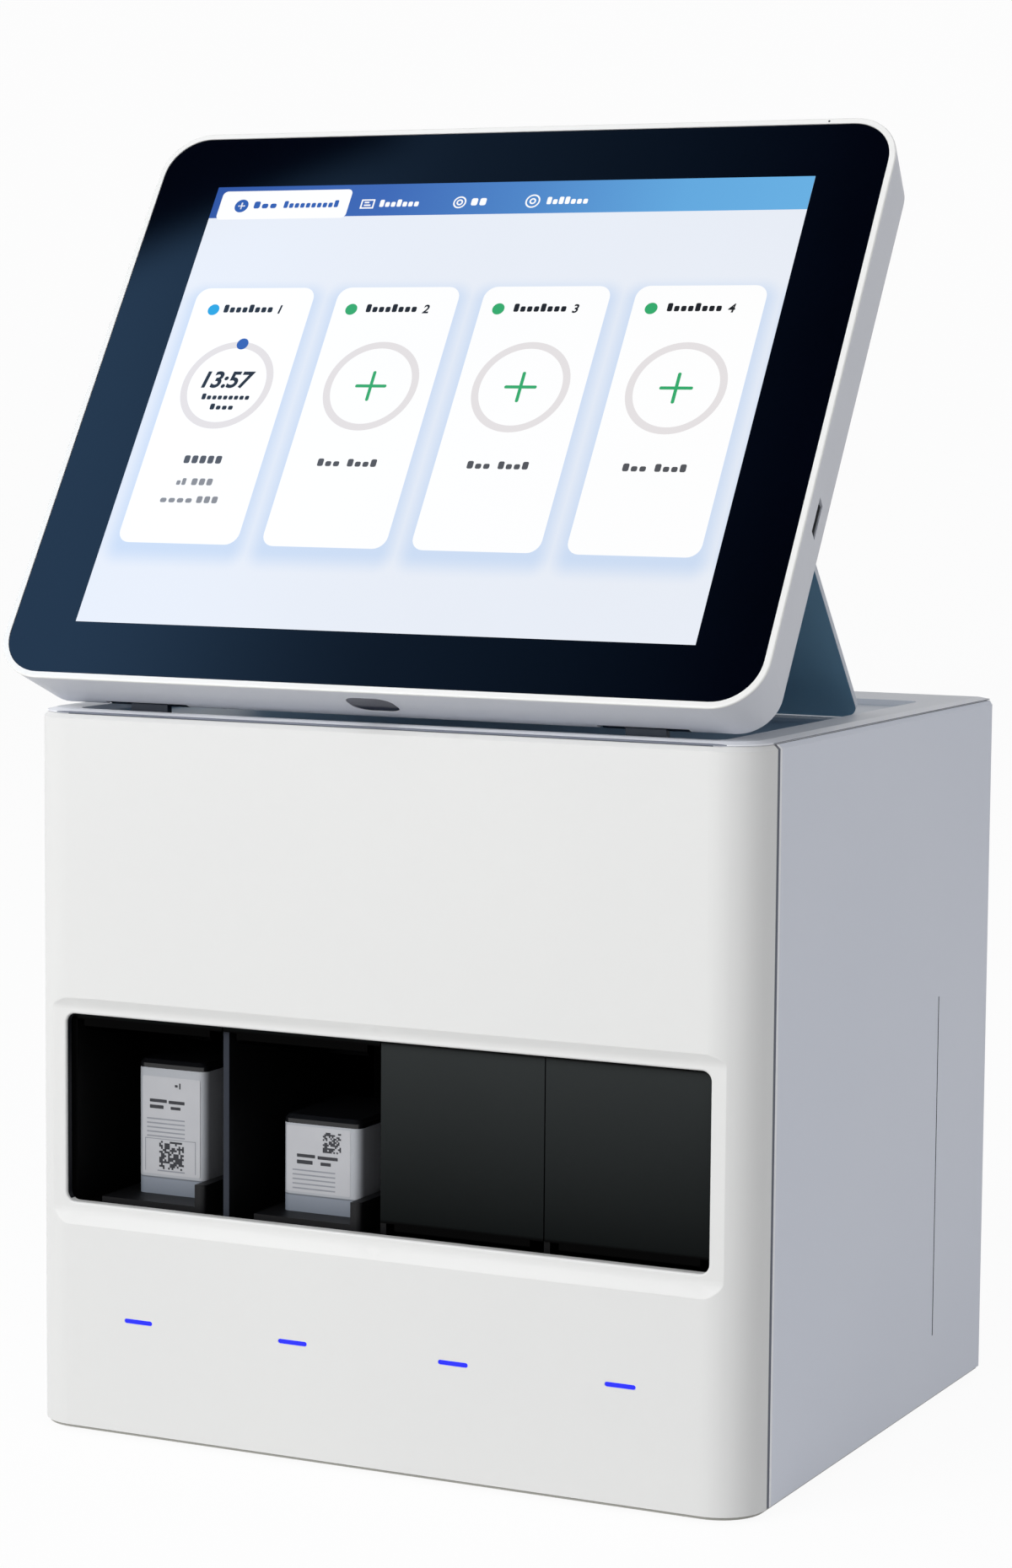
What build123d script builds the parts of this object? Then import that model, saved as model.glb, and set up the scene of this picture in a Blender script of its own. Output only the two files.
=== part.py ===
from build123d import *
from math import cos, radians, sin
import os

os.makedirs("parts", exist_ok=True)

# Millimetres. X to the right, the front faces -Y, Z up.
# The origin is on the table, under the middle of the whole unit.

# Housing
body_w = 284.0
body_d = 238.0
cover_h = 260.0
corner_r = 17.0
seam_depth = 19.0
seam_gap = 0.4
seam_bevel = 0.6
cover_wall = 3.0
side_wall = 2.5
rear_wall = 3.0
edge_bevel = 1.5
feet_stand = 1.5
base_reveal = 1.2
base_inset = 1.2
base_step = 2.5
press_gap = 0.1
hole_gap = 0.2
fit_gap = 0.3
run_gap = 0.4
overcut = 2.0
rear_trim = 2.0
panel_line_depth = 182.0
panel_line_low = 24.0
panel_line_high = 153.0
panel_line_w = 0.8
panel_line_d = 0.4
tongue = 3.0
tongue_t = 2.0

# Bays, with heights measured from the lower edge of the front cover
bay_count = 4
opening_w = body_w - 31.0
opening_high = cover_h - 108.6
opening_low = opening_high - 68.9
bay_pitch = (opening_w + 1.0) / bay_count
opening_r = 3.5
opening_edge_r = 0.8
opening_pad = 6.0
pad_overlap = 0.5
band_depth = 1.5
band_low = opening_low - 1.8
band_low_run = 6.6
band_high = opening_high + 1.7
band_high_run = 4.6
band_skim = 0.05
band_skim_slope = 0.15
frame_back = 5.2
bay_wall = 2.3
bay_outer_wall = 4.0
deck_high = opening_low - 4.5
deck_sheet = 2.0
leg_t = 2.0
leg_front = 22.0
leg_foot_w = 8.0
deck_rear_room = 12.0
bay_floor = 2.5
bay_ceiling = opening_high + 4.6
bay_roof = 2.4
bay_depth = body_d - 128.0
bay_back_wall = 2.2

# Sliding doors
door_gap = 0.5
door_sheet = 2.2
door_low = opening_low + 4.0
door_cover_high = opening_high + 4.1
door_high = opening_high + 24.6
door_tab_w = bay_pitch - 13.5
door_travel = 62.5
door_lip_w = bay_pitch - 11.0
door_lip_h = 4.2
door_lip_d = 4.0
door_lip_set = 0.4
door_lip_bevel = 1.7
door_lip_root = 2.8
block_h = 14.0
block_d = 11.0
block_inset = 3.0
rod_r = 2.5
screw_r = 2.0
spindle_offset = 18.0
spindle_gap = 0.08
bridge_low = door_high + door_travel + 1.5
bridge_sheet = 2.5
bridge_leg = 2.4
bridge_rib_w = 8.0
bridge_rib_d = 3.0
bridge_d = 24.0
motor_side = 20.0
motor_r = 3.0
motor_h = 11.0
motor_cap = 2.0
spindle_end = 0.5

# Trays and cartridges
tray_travel = 22.0
tray_w = bay_pitch - 20.5
tray_lift = 0.3
tray_len = 70.0
tray_front = 2.0
tray_floor = 2.7
tray_wall = 4.0
tray_wall_h = 8.0
tray_wall_len = 30.0
nut_w = 8.5
nut_len = 12.0
nut_h = 14.0
nut_axis_side = 5.0
nut_axis_high = 8.7
tray_screw_len = 66.0
tray_motor_len = 16.0
tray_motor_side = 16.0
tray_motor_r = 2.0
cartridge_len = 45.0
cartridge_1_w = 28.6
cartridge_1_h = 46.5
cartridge_1_set = 13.0
cartridge_2_w = 31.6
cartridge_2_h = 32.0
cartridge_2_set = 10.5
cartridge_r = 3.0
cap_h = 3.0
cap_bevel = 1.4
cap_plug = 3.0
cap_wall = 1.2
cap_room = 0.2
heater_w = 28.0
heater_len = 25.0
heater_h = 38.0
heater_groove = 3.0
heater_groove_pitch = 9.0
heater_groove_depth = 1.5
optics_w = bay_pitch - 23.5
optics_len = 16.0
optics_h = 15.0
optics_lens_r = 5.0
optics_lens_h = 5.0

# Lamps under the bays
lamp_w = 11.6
lamp_h = 1.7
lamp_high = opening_low / 2
lamp_len = 13.0
lamp_board_h = 20.0
lamp_board_up = 2.0
lamp_board_end = 22.0
lamp_board_t = 1.6
lamp_boss_r = 3.5
lamp_boss_up = 7.0
lamp_boss_out = 17.0

# Top cover
top_rise = 1.6
top_slope = 3.5
lid_inset = 1.2
lid_seat = 2.1
lid_gap = 0.4
lid_edge = 0.3
plug_depth = 3.0
pan_w = body_w - 32.0
pan_front = 8.5
pan_back = body_d - 38.0
pan_r = 5.0
pan_wall = 2.5
floor_drop = 4.15
ledge_drop = 2.25
ledge_start = body_d - 103.5

# Display
display_lean = 32.5
display_w = 296.0
display_h = 235.3
display_t = 28.0
display_r = 18.5
display_taper = 4.8
display_back_r = 2.5
display_rim = 2.3
display_skin = 2.5
shell_lip = 1.5
display_chin = 7.2
rim_land = 0.8
rim_edge_r = 0.5
bezel_body = 3.2
bezel_gap = 0.2
glass_t = 2.0
glass_drop = 0.3
ledge_w = 7.0
screen_w = display_w - 56.0
screen_h = display_h - 47.8
screen_low = 16.1
lcd_border = 6.0
lcd_t = 5.5
back_sheet = 2.7
display_board_x = -30.0
display_board_w = 150.0
display_board_d = 90.0
display_post = 3.0
display_chip = 18.0
display_chip_pitch = 34.0
display_chip_h = 3.0

# Display hinges
hinge_depth = 12.6
hinge_high = cover_h + 5.6
hinge_setback = 27.0
hinge_x = display_w / 2 - 51.0
hinge_r = 2.2
pin_r = 1.2
pin_gap = 0.05
knuckle_w = 15.0
leaf_w = 8.0
leaf_gap = 0.4
leaf_neck = 9.0
leaf_reach = 34.0
leaf_plate_t = 2.0
bracket_t = 3.0
bracket_foot_len = 14.0
bracket_foot_t = 1.6
bracket_foot_out = 5.0
pocket_up = 5.0
pocket_low = 15.0
pocket_side = 1.0

# Stand behind the display
stand_pivot_up = 98.1
stand_pivot_out = 2.3
stand_half_w = display_w / 2 - 24.0
stand_t = 2.4
stand_len = 113.0
stand_angle = 50.0
stand_lug_x = stand_half_w - 16.0
stand_plate_low = 0.5
stand_barrel_r = 1.9
stand_pin_r = 1.0
stand_lug_w = 6.0
stand_pin_reach = 12.0
stand_corner_r = 6.0
stand_notch_reach = 3.0

# Scanner window and display port
window_w = 18.0
window_h = 14.0
window_r = 5.5
window_back = 13.5
window_len = 3.0
window_set = 0.2
window_flange_w = 24.0
window_flange_h = 13.0
window_flange_t = 3.0
window_notch_w = 26.0
window_notch_up = 15.0
port_up = 73.1
port_back = 13.5
port_w = 13.1
port_h = 5.7
port_len = 14.0
port_set = 0.9
port_bottom = 3.0
port_shell = 0.5
port_tongue_t = 1.4
port_tongue_in = 1.3
port_tongue_off = 0.7

# Rear of the housing
fan_side = 80.0
fan_t = 25.0
fan_x = -40.0
fan_high = cover_h - 82.0
fan_bore_r = 37.5
fan_corner_r = 4.0
fan_screw_in = 4.2
fan_strut_w = 4.0
fan_strut_t = 3.0
fan_axle_r = 2.0
rotor_r = 36.5
rotor_set = 2.0
rotor_gap = 0.5
hub_r = 16.0
blade_count = 7
blade_t = 1.6
blade_angle = 28.0
blade_end_gap = 0.6
guard_ring_count = 5
guard_pitch = 7.0
guard_edge = 1.5
guard_wire = 1.6
guard_ring_t = 1.2
guard_tab_r = 3.6
guard_spoke_t = 1.0
guard_pin_len = 9.0
vent_count = 9
vent_x = body_w / 2 - 70.0
vent_w = 78.0
vent_h = 3.0
vent_pitch = 8.0
inlet_x = body_w / 2 - 50.0
inlet_high = 42.0
inlet_w = 31.0
inlet_h = 24.0
inlet_len = 26.0
inlet_rim = 2.0
inlet_corner_r = 2.0
inlet_pin_pitch = 7.0
inlet_pin_off = 2.0
inlet_pin_w = 2.0
inlet_pin_h = 4.0
inlet_pin_end = 1.0
socket_w = 24.4
socket_h = 16.6
socket_len = 16.0
switch_high = 84.0
switch_w = 13.0
switch_h = 19.4
switch_len = 14.0
switch_flange = 1.6
switch_rim = 1.0
switch_well = 10.0
rocker_w = 10.4
rocker_side_gap = 0.3
rocker_end_in = 1.3
rocker_half = 7.6
rocker_throw = 16.0
rocker_set = 3.0
rocker_root = 3.0
rocker_edge_in = 2.4
rocker_edge_out = 4.0
rocker_dish = 0.8
rocker_axle_r = 1.0
rocker_axle_gap = 0.06
usb_x = 20.0
usb_pitch = 20.0
jack_w = 16.0
jack_h = 13.5
jack_wall = 2.0
jack_floor = 2.5
jack_len = 21.0
jack_solid = 6.0
jack_x = -26.0
socket_set = 0.2
screw_head_r = 2.8
screw_head_h = 1.5
screw_shank_r = 1.5
screw_len = 8.0
screw_edge = 0.4
screw_socket_r = 1.3
screw_socket_d = 1.0
panel_screw_in = 7.0
panel_screw_end = 10.0

# Boards and supply
board_t = 1.6
board_high = 8.0
board_w = 170.0
board_d = 104.0
board_x = -42.0
board_depth = body_d - 58.0
board_post_r = 3.0
board_post_in = 6.0
chip_side = 36.0
chip_x = -20.0
chip_back = -6.0
chip_h = 6.0
module_w = 10.0
module_d = 22.0
module_x = 34.0
module_pitch = 14.0
module_back = -18.0
supply_w = 62.0
supply_d = 100.0
supply_h = 34.0
supply_edge = 1.0
supply_x = body_w / 2 - 46.5
supply_depth = body_d - 110.0
foot_r = 9.0
foot_seat = 1.0
foot_edge = 0.5
foot_x = body_w / 2 - 30.0
foot_in = 24.0

# Places worked out from the sizes above
lean = radians(display_lean)
rim_overhang = hinge_setback * cos(lean) - hinge_depth + display_chin * sin(lean)
front_y = -(body_d + rear_trim - rim_overhang) / 2
back_y = front_y + body_d
base_z = feet_stand + base_reveal
top_z = base_z + cover_h
flat_z = top_z + top_rise
half_w = body_w / 2
bay_centres = [(i - (bay_count - 1) / 2) * bay_pitch for i in range(bay_count)]
bay_half_w = bay_count * bay_pitch / 2 - bay_wall / 2
door_y = front_y + frame_back + run_gap
bay_y = door_y + door_sheet + run_gap
bay_back_y = bay_y + bay_depth
deck_z = base_z + deck_high
floor_z = deck_z + bay_floor
roof_z = base_z + bay_ceiling + bay_roof


def front_plane(y):
    """Plane that faces the front at the given Y, with X across and Z up."""
    return Plane.XZ.offset(-y)


def plan_outline(half_width, front, back, radius):
    """Plan of the housing, square at the back and rounded at the front corners."""
    with BuildSketch(mode=Mode.PRIVATE) as outline:
        with Locations((0, (front + back) / 2)):
            Rectangle(2 * half_width, back - front)
        fillet(outline.vertices().group_by(Axis.Y)[0], radius)
    return outline.sketch


# Base plate with seats for the feet and posts for the main board
base_rim = plan_outline(
    half_w - base_inset,
    front_y + base_inset,
    back_y - base_inset,
    corner_r - base_inset,
)
base_plug = plan_outline(
    half_w - cover_wall - fit_gap,
    front_y + cover_wall + fit_gap,
    back_y - rear_wall - fit_gap,
    corner_r - cover_wall - fit_gap,
)
foot_places = [(sx * foot_x, y) for sx in (-1, 1) for y in (front_y + foot_in, back_y - foot_in)]
board_z = base_z + base_step + board_high
board_posts = [
    (
        board_x + sx * (board_w / 2 - board_post_in),
        front_y + board_depth + sy * (board_d / 2 - board_post_in),
    )
    for sx in (-1, 1)
    for sy in (-1, 1)
]
with BuildPart() as base_plate:
    with BuildSketch(Plane.XY.offset(feet_stand)):
        add(base_rim)
    extrude(amount=base_reveal)
    with BuildSketch(Plane.XY.offset(base_z)):
        add(base_plug)
    extrude(amount=base_step)
    with BuildSketch(Plane.XY.offset(feet_stand)):
        with Locations(foot_places):
            Circle(foot_r + press_gap)
    extrude(amount=foot_seat, mode=Mode.SUBTRACT)
    with BuildSketch(Plane.XY.offset(base_z + base_step)):
        with Locations(board_posts):
            Circle(board_post_r)
    extrude(amount=board_high)
base_plate.part.label = "base_plate"
export_step(base_plate.part, "parts/base_plate.step")

# Four rubber feet pressed into the base
with BuildPart() as rubber_feet:
    with BuildSketch(Plane.XY):
        with Locations(foot_places):
            Circle(foot_r)
    extrude(amount=feet_stand + foot_seat)
    chamfer(rubber_feet.edges().group_by(Axis.Z)[0], foot_edge)
rubber_feet.part.label = "rubber_feet"
export_step(rubber_feet.part, "parts/rubber_feet.step")

# Front cover: one moulding that wraps both front corners
cover_outer = plan_outline(half_w, front_y, front_y + seam_depth, corner_r)
cover_inner = plan_outline(
    half_w - cover_wall, front_y + cover_wall, front_y + seam_depth, corner_r - cover_wall
)
opening_mid = base_z + (opening_low + opening_high) / 2
opening_h = opening_high - opening_low
band_y = front_y + band_depth
band_foot = (front_y - band_skim, base_z + band_low - band_low_run)
band_floor_low = (band_y, base_z + band_low)
band_floor_high = (band_y, base_z + band_high)
band_head = (front_y - band_skim, base_z + band_high + band_high_run)
lamp_z = base_z + lamp_high
lamp_boss_side = bay_centres[-1] + lamp_boss_out
lamp_boss_places = [(x, lamp_z + lamp_boss_up) for x in (-lamp_boss_side, 0, lamp_boss_side)]
with BuildPart() as front_cover:
    with BuildSketch(Plane.XY.offset(base_z)):
        add(cover_outer)
    extrude(amount=cover_h)
    cover_top_edges = front_cover.edges().group_by(Axis.Z)[-1].sort_by(Axis.Y)[:-1]
    chamfer(cover_top_edges, edge_bevel)
    chamfer(front_cover.edges().filter_by(Axis.Z).group_by(Axis.Y)[-1], seam_bevel)
    with BuildSketch(Plane.XY.offset(base_z)):
        add(cover_inner)
    extrude(amount=cover_h, mode=Mode.SUBTRACT)
    with BuildSketch(front_plane(front_y + frame_back)):
        with Locations((0, opening_mid)):
            Rectangle(opening_w + 2 * opening_pad, opening_h + 2 * opening_pad)
    extrude(amount=frame_back - cover_wall + pad_overlap)
    with BuildSketch(front_plane(front_y + lamp_len)):
        with Locations(lamp_boss_places):
            Circle(lamp_boss_r)
    extrude(amount=lamp_len - cover_wall + pad_overlap)
    with BuildSketch(Plane.YZ):
        with BuildLine():
            Spline(band_foot, band_floor_low, tangents=[(band_skim_slope, 1), (0, 1)])
            Line(band_floor_low, band_floor_high)
            Spline(band_floor_high, band_head, tangents=[(0, 1), (-band_skim_slope, 1)])
            Polyline(
                band_head,
                (front_y - overcut, base_z + band_high + band_high_run),
                (front_y - overcut, base_z + band_low - band_low_run),
                band_foot,
            )
        make_face()
    extrude(amount=half_w + overcut, both=True, mode=Mode.SUBTRACT)
    with BuildSketch(front_plane(front_y - overcut)):
        with Locations((0, opening_mid)):
            RectangleRounded(opening_w, opening_h, opening_r)
        with Locations([(x, lamp_z) for x in bay_centres]):
            SlotOverall(lamp_w, lamp_h)
    extrude(amount=-seam_depth, mode=Mode.SUBTRACT)
    band_edges = front_cover.edges().filter_by_position(Axis.Y, band_y - press_gap, band_y + press_gap)
    opening_edges = band_edges.filter_by_position(
        Axis.Z, base_z + opening_low - press_gap, base_z + opening_high + press_gap
    )
    fillet(opening_edges, opening_edge_r)
front_cover.part.label = "front_cover"
export_step(front_cover.part, "parts/front_cover.step")

# Side panels: flat sheets with a tongue behind the front cover and one shallow upright groove
panel_front = front_y + seam_depth + seam_gap
tongue_x = half_w - cover_wall - fit_gap - tongue_t / 2
tongue_lap = half_w - side_wall - tongue_x
tongue_z = base_z + base_step + fit_gap
for side, name in ((-1, "side_panel_left"), (1, "side_panel_right")):
    with BuildPart() as side_panel:
        with BuildSketch(Plane.XY.offset(base_z)):
            with Locations((side * (half_w - side_wall / 2), (panel_front + back_y) / 2)):
                Rectangle(side_wall, back_y - panel_front)
        extrude(amount=cover_h)
        outer_edges = side_panel.faces().sort_by(Axis.X)[-1 if side > 0 else 0].edges()
        chamfer(outer_edges.sort_by(Axis.Z)[-1:] + outer_edges.sort_by(Axis.Y)[-1:], edge_bevel)
        front_edges = side_panel.edges().filter_by(Axis.Z).group_by(Axis.Y)[0].sort_by(Axis.X)
        chamfer(front_edges[-1 if side > 0 else 0], seam_bevel)
        with BuildSketch(Plane.XY.offset(tongue_z)):
            with Locations((side * tongue_x, panel_front)):
                Rectangle(tongue_t, 2 * tongue)
            with Locations((side * (tongue_x + tongue_lap / 2), panel_front + tongue / 2)):
                Rectangle(tongue_lap, tongue)
        extrude(amount=cover_h - base_step - plug_depth - 2 * fit_gap)
        with BuildSketch(Plane.XY.offset(base_z + panel_line_low)):
            with Locations((side * half_w, front_y + panel_line_depth)):
                Rectangle(2 * panel_line_d, panel_line_w)
        extrude(amount=panel_line_high - panel_line_low, mode=Mode.SUBTRACT)
    side_panel.part.label = name
    export_step(side_panel.part, f"parts/{name}.step")

# Top cover with the shallow pan that the display folds over
def lid_outline(inset):
    """Plan of the housing drawn in by the given distance all round."""
    return plan_outline(half_w - inset, front_y + inset, back_y - inset, corner_r - inset)


pan_mid = front_y + (pan_front + pan_back) / 2
pan_d = pan_back - pan_front
floor_top = flat_z - floor_drop
ledge_top = flat_z - ledge_drop
lid_edge_z = top_z + lid_gap
with BuildPart() as top_cover:
    with BuildSketch(Plane.XY.offset(lid_edge_z + lid_edge)):
        add(lid_outline(lid_inset))
    with BuildSketch(Plane.XY.offset(flat_z)):
        add(lid_outline(lid_inset + top_slope))
    loft(ruled=True)
    with BuildSketch(Plane.XY.offset(lid_edge_z)):
        add(lid_outline(lid_inset))
    extrude(amount=lid_edge)
    with BuildSketch(Plane.XY.offset(top_z)):
        add(lid_outline(lid_seat))
    extrude(amount=lid_gap)
    with BuildSketch(Plane.XY.offset(top_z - plug_depth)):
        add(base_plug)
    extrude(amount=plug_depth)
    with BuildSketch(Plane.XY.offset(floor_top - pan_wall)):
        with Locations((0, pan_mid)):
            RectangleRounded(pan_w + 2 * pan_wall, pan_d + 2 * pan_wall, pan_r + pan_wall)
    extrude(amount=top_z - floor_top + pan_wall)
    with BuildSketch(Plane.XY.offset(ledge_top)):
        with Locations((0, pan_mid)):
            RectangleRounded(pan_w, pan_d, pan_r)
    extrude(amount=floor_drop, mode=Mode.SUBTRACT)
    with BuildSketch(Plane.XY.offset(floor_top)):
        with Locations((0, pan_mid)):
            RectangleRounded(pan_w, pan_d, pan_r)
        with Locations((0, front_y + ledge_start / 2)):
            Rectangle(body_w, ledge_start, mode=Mode.INTERSECT)
    extrude(amount=floor_drop, mode=Mode.SUBTRACT)
top_cover.part.label = "top_cover"
export_step(top_cover.part, "parts/top_cover.step")

# Rear panel with the fan opening, vents and sockets
rear_in = back_y - rear_wall
fan_z = base_z + fan_high
fan_screw = fan_side / 2 - fan_screw_in
fan_screw_places = [(fan_x + sx * fan_screw, fan_z + sz * fan_screw) for sx in (-1, 1) for sz in (-1, 1)]
vent_low = fan_z - (vent_count - 1) / 2 * vent_pitch
inlet_z = base_z + inlet_high
switch_z = base_z + switch_high
board_top = board_z + board_t
usb_places = [(usb_x, board_top + port_h / 2), (usb_x - usb_pitch, board_top + port_h / 2)]
jack_place = (jack_x, board_top + jack_h / 2)
rear_w = 2 * (half_w - side_wall - press_gap)
inlet_body_w = inlet_w - 2 * inlet_rim
inlet_body_h = inlet_h - 2 * inlet_rim
panel_screw_places = [
    (sx * (rear_w / 2 - panel_screw_in), base_z + z)
    for sx in (-1, 1)
    for z in (panel_screw_end, cover_h / 2, cover_h - panel_screw_end)
]
with BuildPart() as rear_panel:
    with BuildSketch(front_plane(back_y)):
        with Locations((0, base_z + cover_h / 2)):
            Rectangle(rear_w, cover_h)
    extrude(amount=rear_wall)
    with BuildSketch(front_plane(back_y)):
        with Locations((fan_x, fan_z)):
            Circle(fan_bore_r)
        with Locations([(vent_x, vent_low + k * vent_pitch) for k in range(vent_count)]):
            SlotOverall(vent_w, vent_h)
        with Locations((inlet_x, inlet_z)):
            Rectangle(inlet_body_w + 2 * hole_gap, inlet_body_h + 2 * hole_gap)
        with Locations((inlet_x, switch_z)):
            Rectangle(switch_w + 2 * press_gap, switch_h + 2 * press_gap)
        with Locations(usb_places):
            Rectangle(port_w + 2 * hole_gap, port_h + 2 * hole_gap)
        with Locations(jack_place):
            Rectangle(jack_w + 2 * hole_gap, jack_h + 2 * hole_gap)
        with Locations(fan_screw_places + panel_screw_places):
            Circle(screw_shank_r)
    extrude(amount=rear_wall, mode=Mode.SUBTRACT)
rear_panel.part.label = "rear_panel"
export_step(rear_panel.part, "parts/rear_panel.step")

# Screws of the rear panel
with BuildPart() as rear_screws:
    with BuildSketch(front_plane(back_y)):
        with Locations(panel_screw_places):
            Circle(screw_head_r)
    extrude(amount=-screw_head_h)
    chamfer(rear_screws.faces().group_by(Axis.Y)[-1].edges(), screw_edge)
    with BuildSketch(front_plane(back_y)):
        with Locations(panel_screw_places):
            Circle(screw_shank_r)
    extrude(amount=screw_len)
    with BuildSketch(front_plane(back_y + screw_head_h)):
        with Locations(panel_screw_places):
            RegularPolygon(screw_socket_r, 6)
    extrude(amount=screw_socket_d, mode=Mode.SUBTRACT)
rear_screws.part.label = "rear_screws"
export_step(rear_screws.part, "parts/rear_screws.step")

# Inner deck on side legs that stand on the base plate
deck_half = bay_half_w + bay_outer_wall
deck_front = front_y + frame_back + fit_gap
deck_back = rear_in - deck_rear_room
leg_mid = (front_y + leg_front + deck_back) / 2
leg_len = deck_back - front_y - leg_front
with BuildPart() as chassis_deck:
    with BuildSketch(Plane.XY.offset(deck_z - deck_sheet)):
        with Locations((0, (deck_front + deck_back) / 2)):
            Rectangle(2 * deck_half, deck_back - deck_front)
    extrude(amount=deck_sheet)
    with BuildSketch(Plane.XY.offset(base_z + base_step)):
        with Locations([(sx * (deck_half - leg_t / 2), leg_mid) for sx in (-1, 1)]):
            Rectangle(leg_t, leg_len)
    extrude(amount=deck_high - base_step)
    with BuildSketch(Plane.XY.offset(base_z + base_step)):
        with Locations([(sx * (deck_half + leg_foot_w / 2 - leg_t), leg_mid) for sx in (-1, 1)]):
            Rectangle(leg_foot_w, leg_len)
    extrude(amount=leg_t)
chassis_deck.part.label = "chassis_deck"
export_step(chassis_deck.part, "parts/chassis_deck.step")

# Bay housing: floor, roof, back and the walls between the four bays
bay_mid_y = (bay_y + bay_back_y + bay_back_wall) / 2
bay_outer_d = bay_depth + bay_back_wall
bay_top = roof_z
bay_h = bay_top - deck_z
tray_axis_z = floor_z + tray_lift + nut_axis_high
tray_axis_places = [(x + tray_w / 2 + nut_axis_side, tray_axis_z) for x in bay_centres]
with BuildPart() as bay_housing:
    with BuildSketch(Plane.XY.offset(deck_z)):
        with Locations((0, bay_mid_y)):
            Rectangle(2 * (bay_half_w + bay_outer_wall), bay_outer_d)
    extrude(amount=bay_h)
    with BuildSketch(front_plane(bay_y)):
        with Locations([(x, (floor_z + roof_z - bay_roof) / 2) for x in bay_centres]):
            Rectangle(bay_pitch - bay_wall, roof_z - bay_roof - floor_z)
    extrude(amount=-bay_depth, mode=Mode.SUBTRACT)
    with BuildSketch(front_plane(bay_back_y)):
        with Locations(tray_axis_places):
            Circle(screw_r + spindle_gap)
    extrude(amount=-bay_back_wall, mode=Mode.SUBTRACT)
bay_housing.part.label = "bay_housing"
export_step(bay_housing.part, "parts/bay_housing.step")

# Rod and spindle places above each bay, seen from above
rod_y = door_y + door_sheet + block_d / 2
rod_places = [(x - spindle_offset / 2, rod_y) for x in bay_centres]
spindle_places = [(x + spindle_offset / 2, rod_y) for x in bay_centres]
bridge_z = base_z + bridge_low

# Bridge that carries the tops of the rods and the door motors
bridge_half = bay_half_w + bay_outer_wall
bridge_front = front_y + frame_back + run_gap
with BuildPart() as door_bridge:
    with BuildSketch(Plane.XY.offset(bridge_z)):
        with Locations((0, bridge_front + bridge_d / 2)):
            Rectangle(2 * bridge_half, bridge_d)
    extrude(amount=bridge_sheet)
    with BuildSketch(Plane.XY.offset(roof_z)):
        with Locations(
            [(sx * (bridge_half - bridge_leg / 2), bridge_front + bridge_d / 2) for sx in (-1, 1)]
        ):
            Rectangle(bridge_leg, bridge_d)
        with Locations((0, rod_y + block_d / 2 + bridge_rib_d)):
            Rectangle(bridge_rib_w, bridge_rib_d)
    extrude(amount=bridge_z - roof_z)
    with BuildSketch(Plane.XY.offset(bridge_z)):
        with Locations(rod_places):
            Circle(rod_r)
        with Locations(spindle_places):
            Circle(screw_r + spindle_gap)
    extrude(amount=bridge_sheet, mode=Mode.SUBTRACT)
door_bridge.part.label = "door_bridge"
export_step(door_bridge.part, "parts/door_bridge.step")

# Guide rods of the doors, one per bay
with BuildPart() as door_rods:
    with BuildSketch(Plane.XY.offset(roof_z)):
        with Locations(rod_places):
            Circle(rod_r)
    extrude(amount=bridge_z + bridge_sheet - roof_z)
door_rods.part.label = "door_rods"
export_step(door_rods.part, "parts/door_rods.step")

# Door motors on the bridge
motor_z = bridge_z + bridge_sheet
with BuildPart() as door_motors:
    with BuildSketch(Plane.XY.offset(motor_z)):
        with Locations(spindle_places):
            RectangleRounded(motor_side, motor_side, motor_r)
    extrude(amount=motor_h)
    with BuildSketch(Plane.XY.offset(motor_z)):
        with Locations(spindle_places):
            Circle(screw_r + spindle_gap)
    extrude(amount=motor_h - motor_cap, mode=Mode.SUBTRACT)
door_motors.part.label = "door_motors"
export_step(door_motors.part, "parts/door_motors.step")

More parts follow.
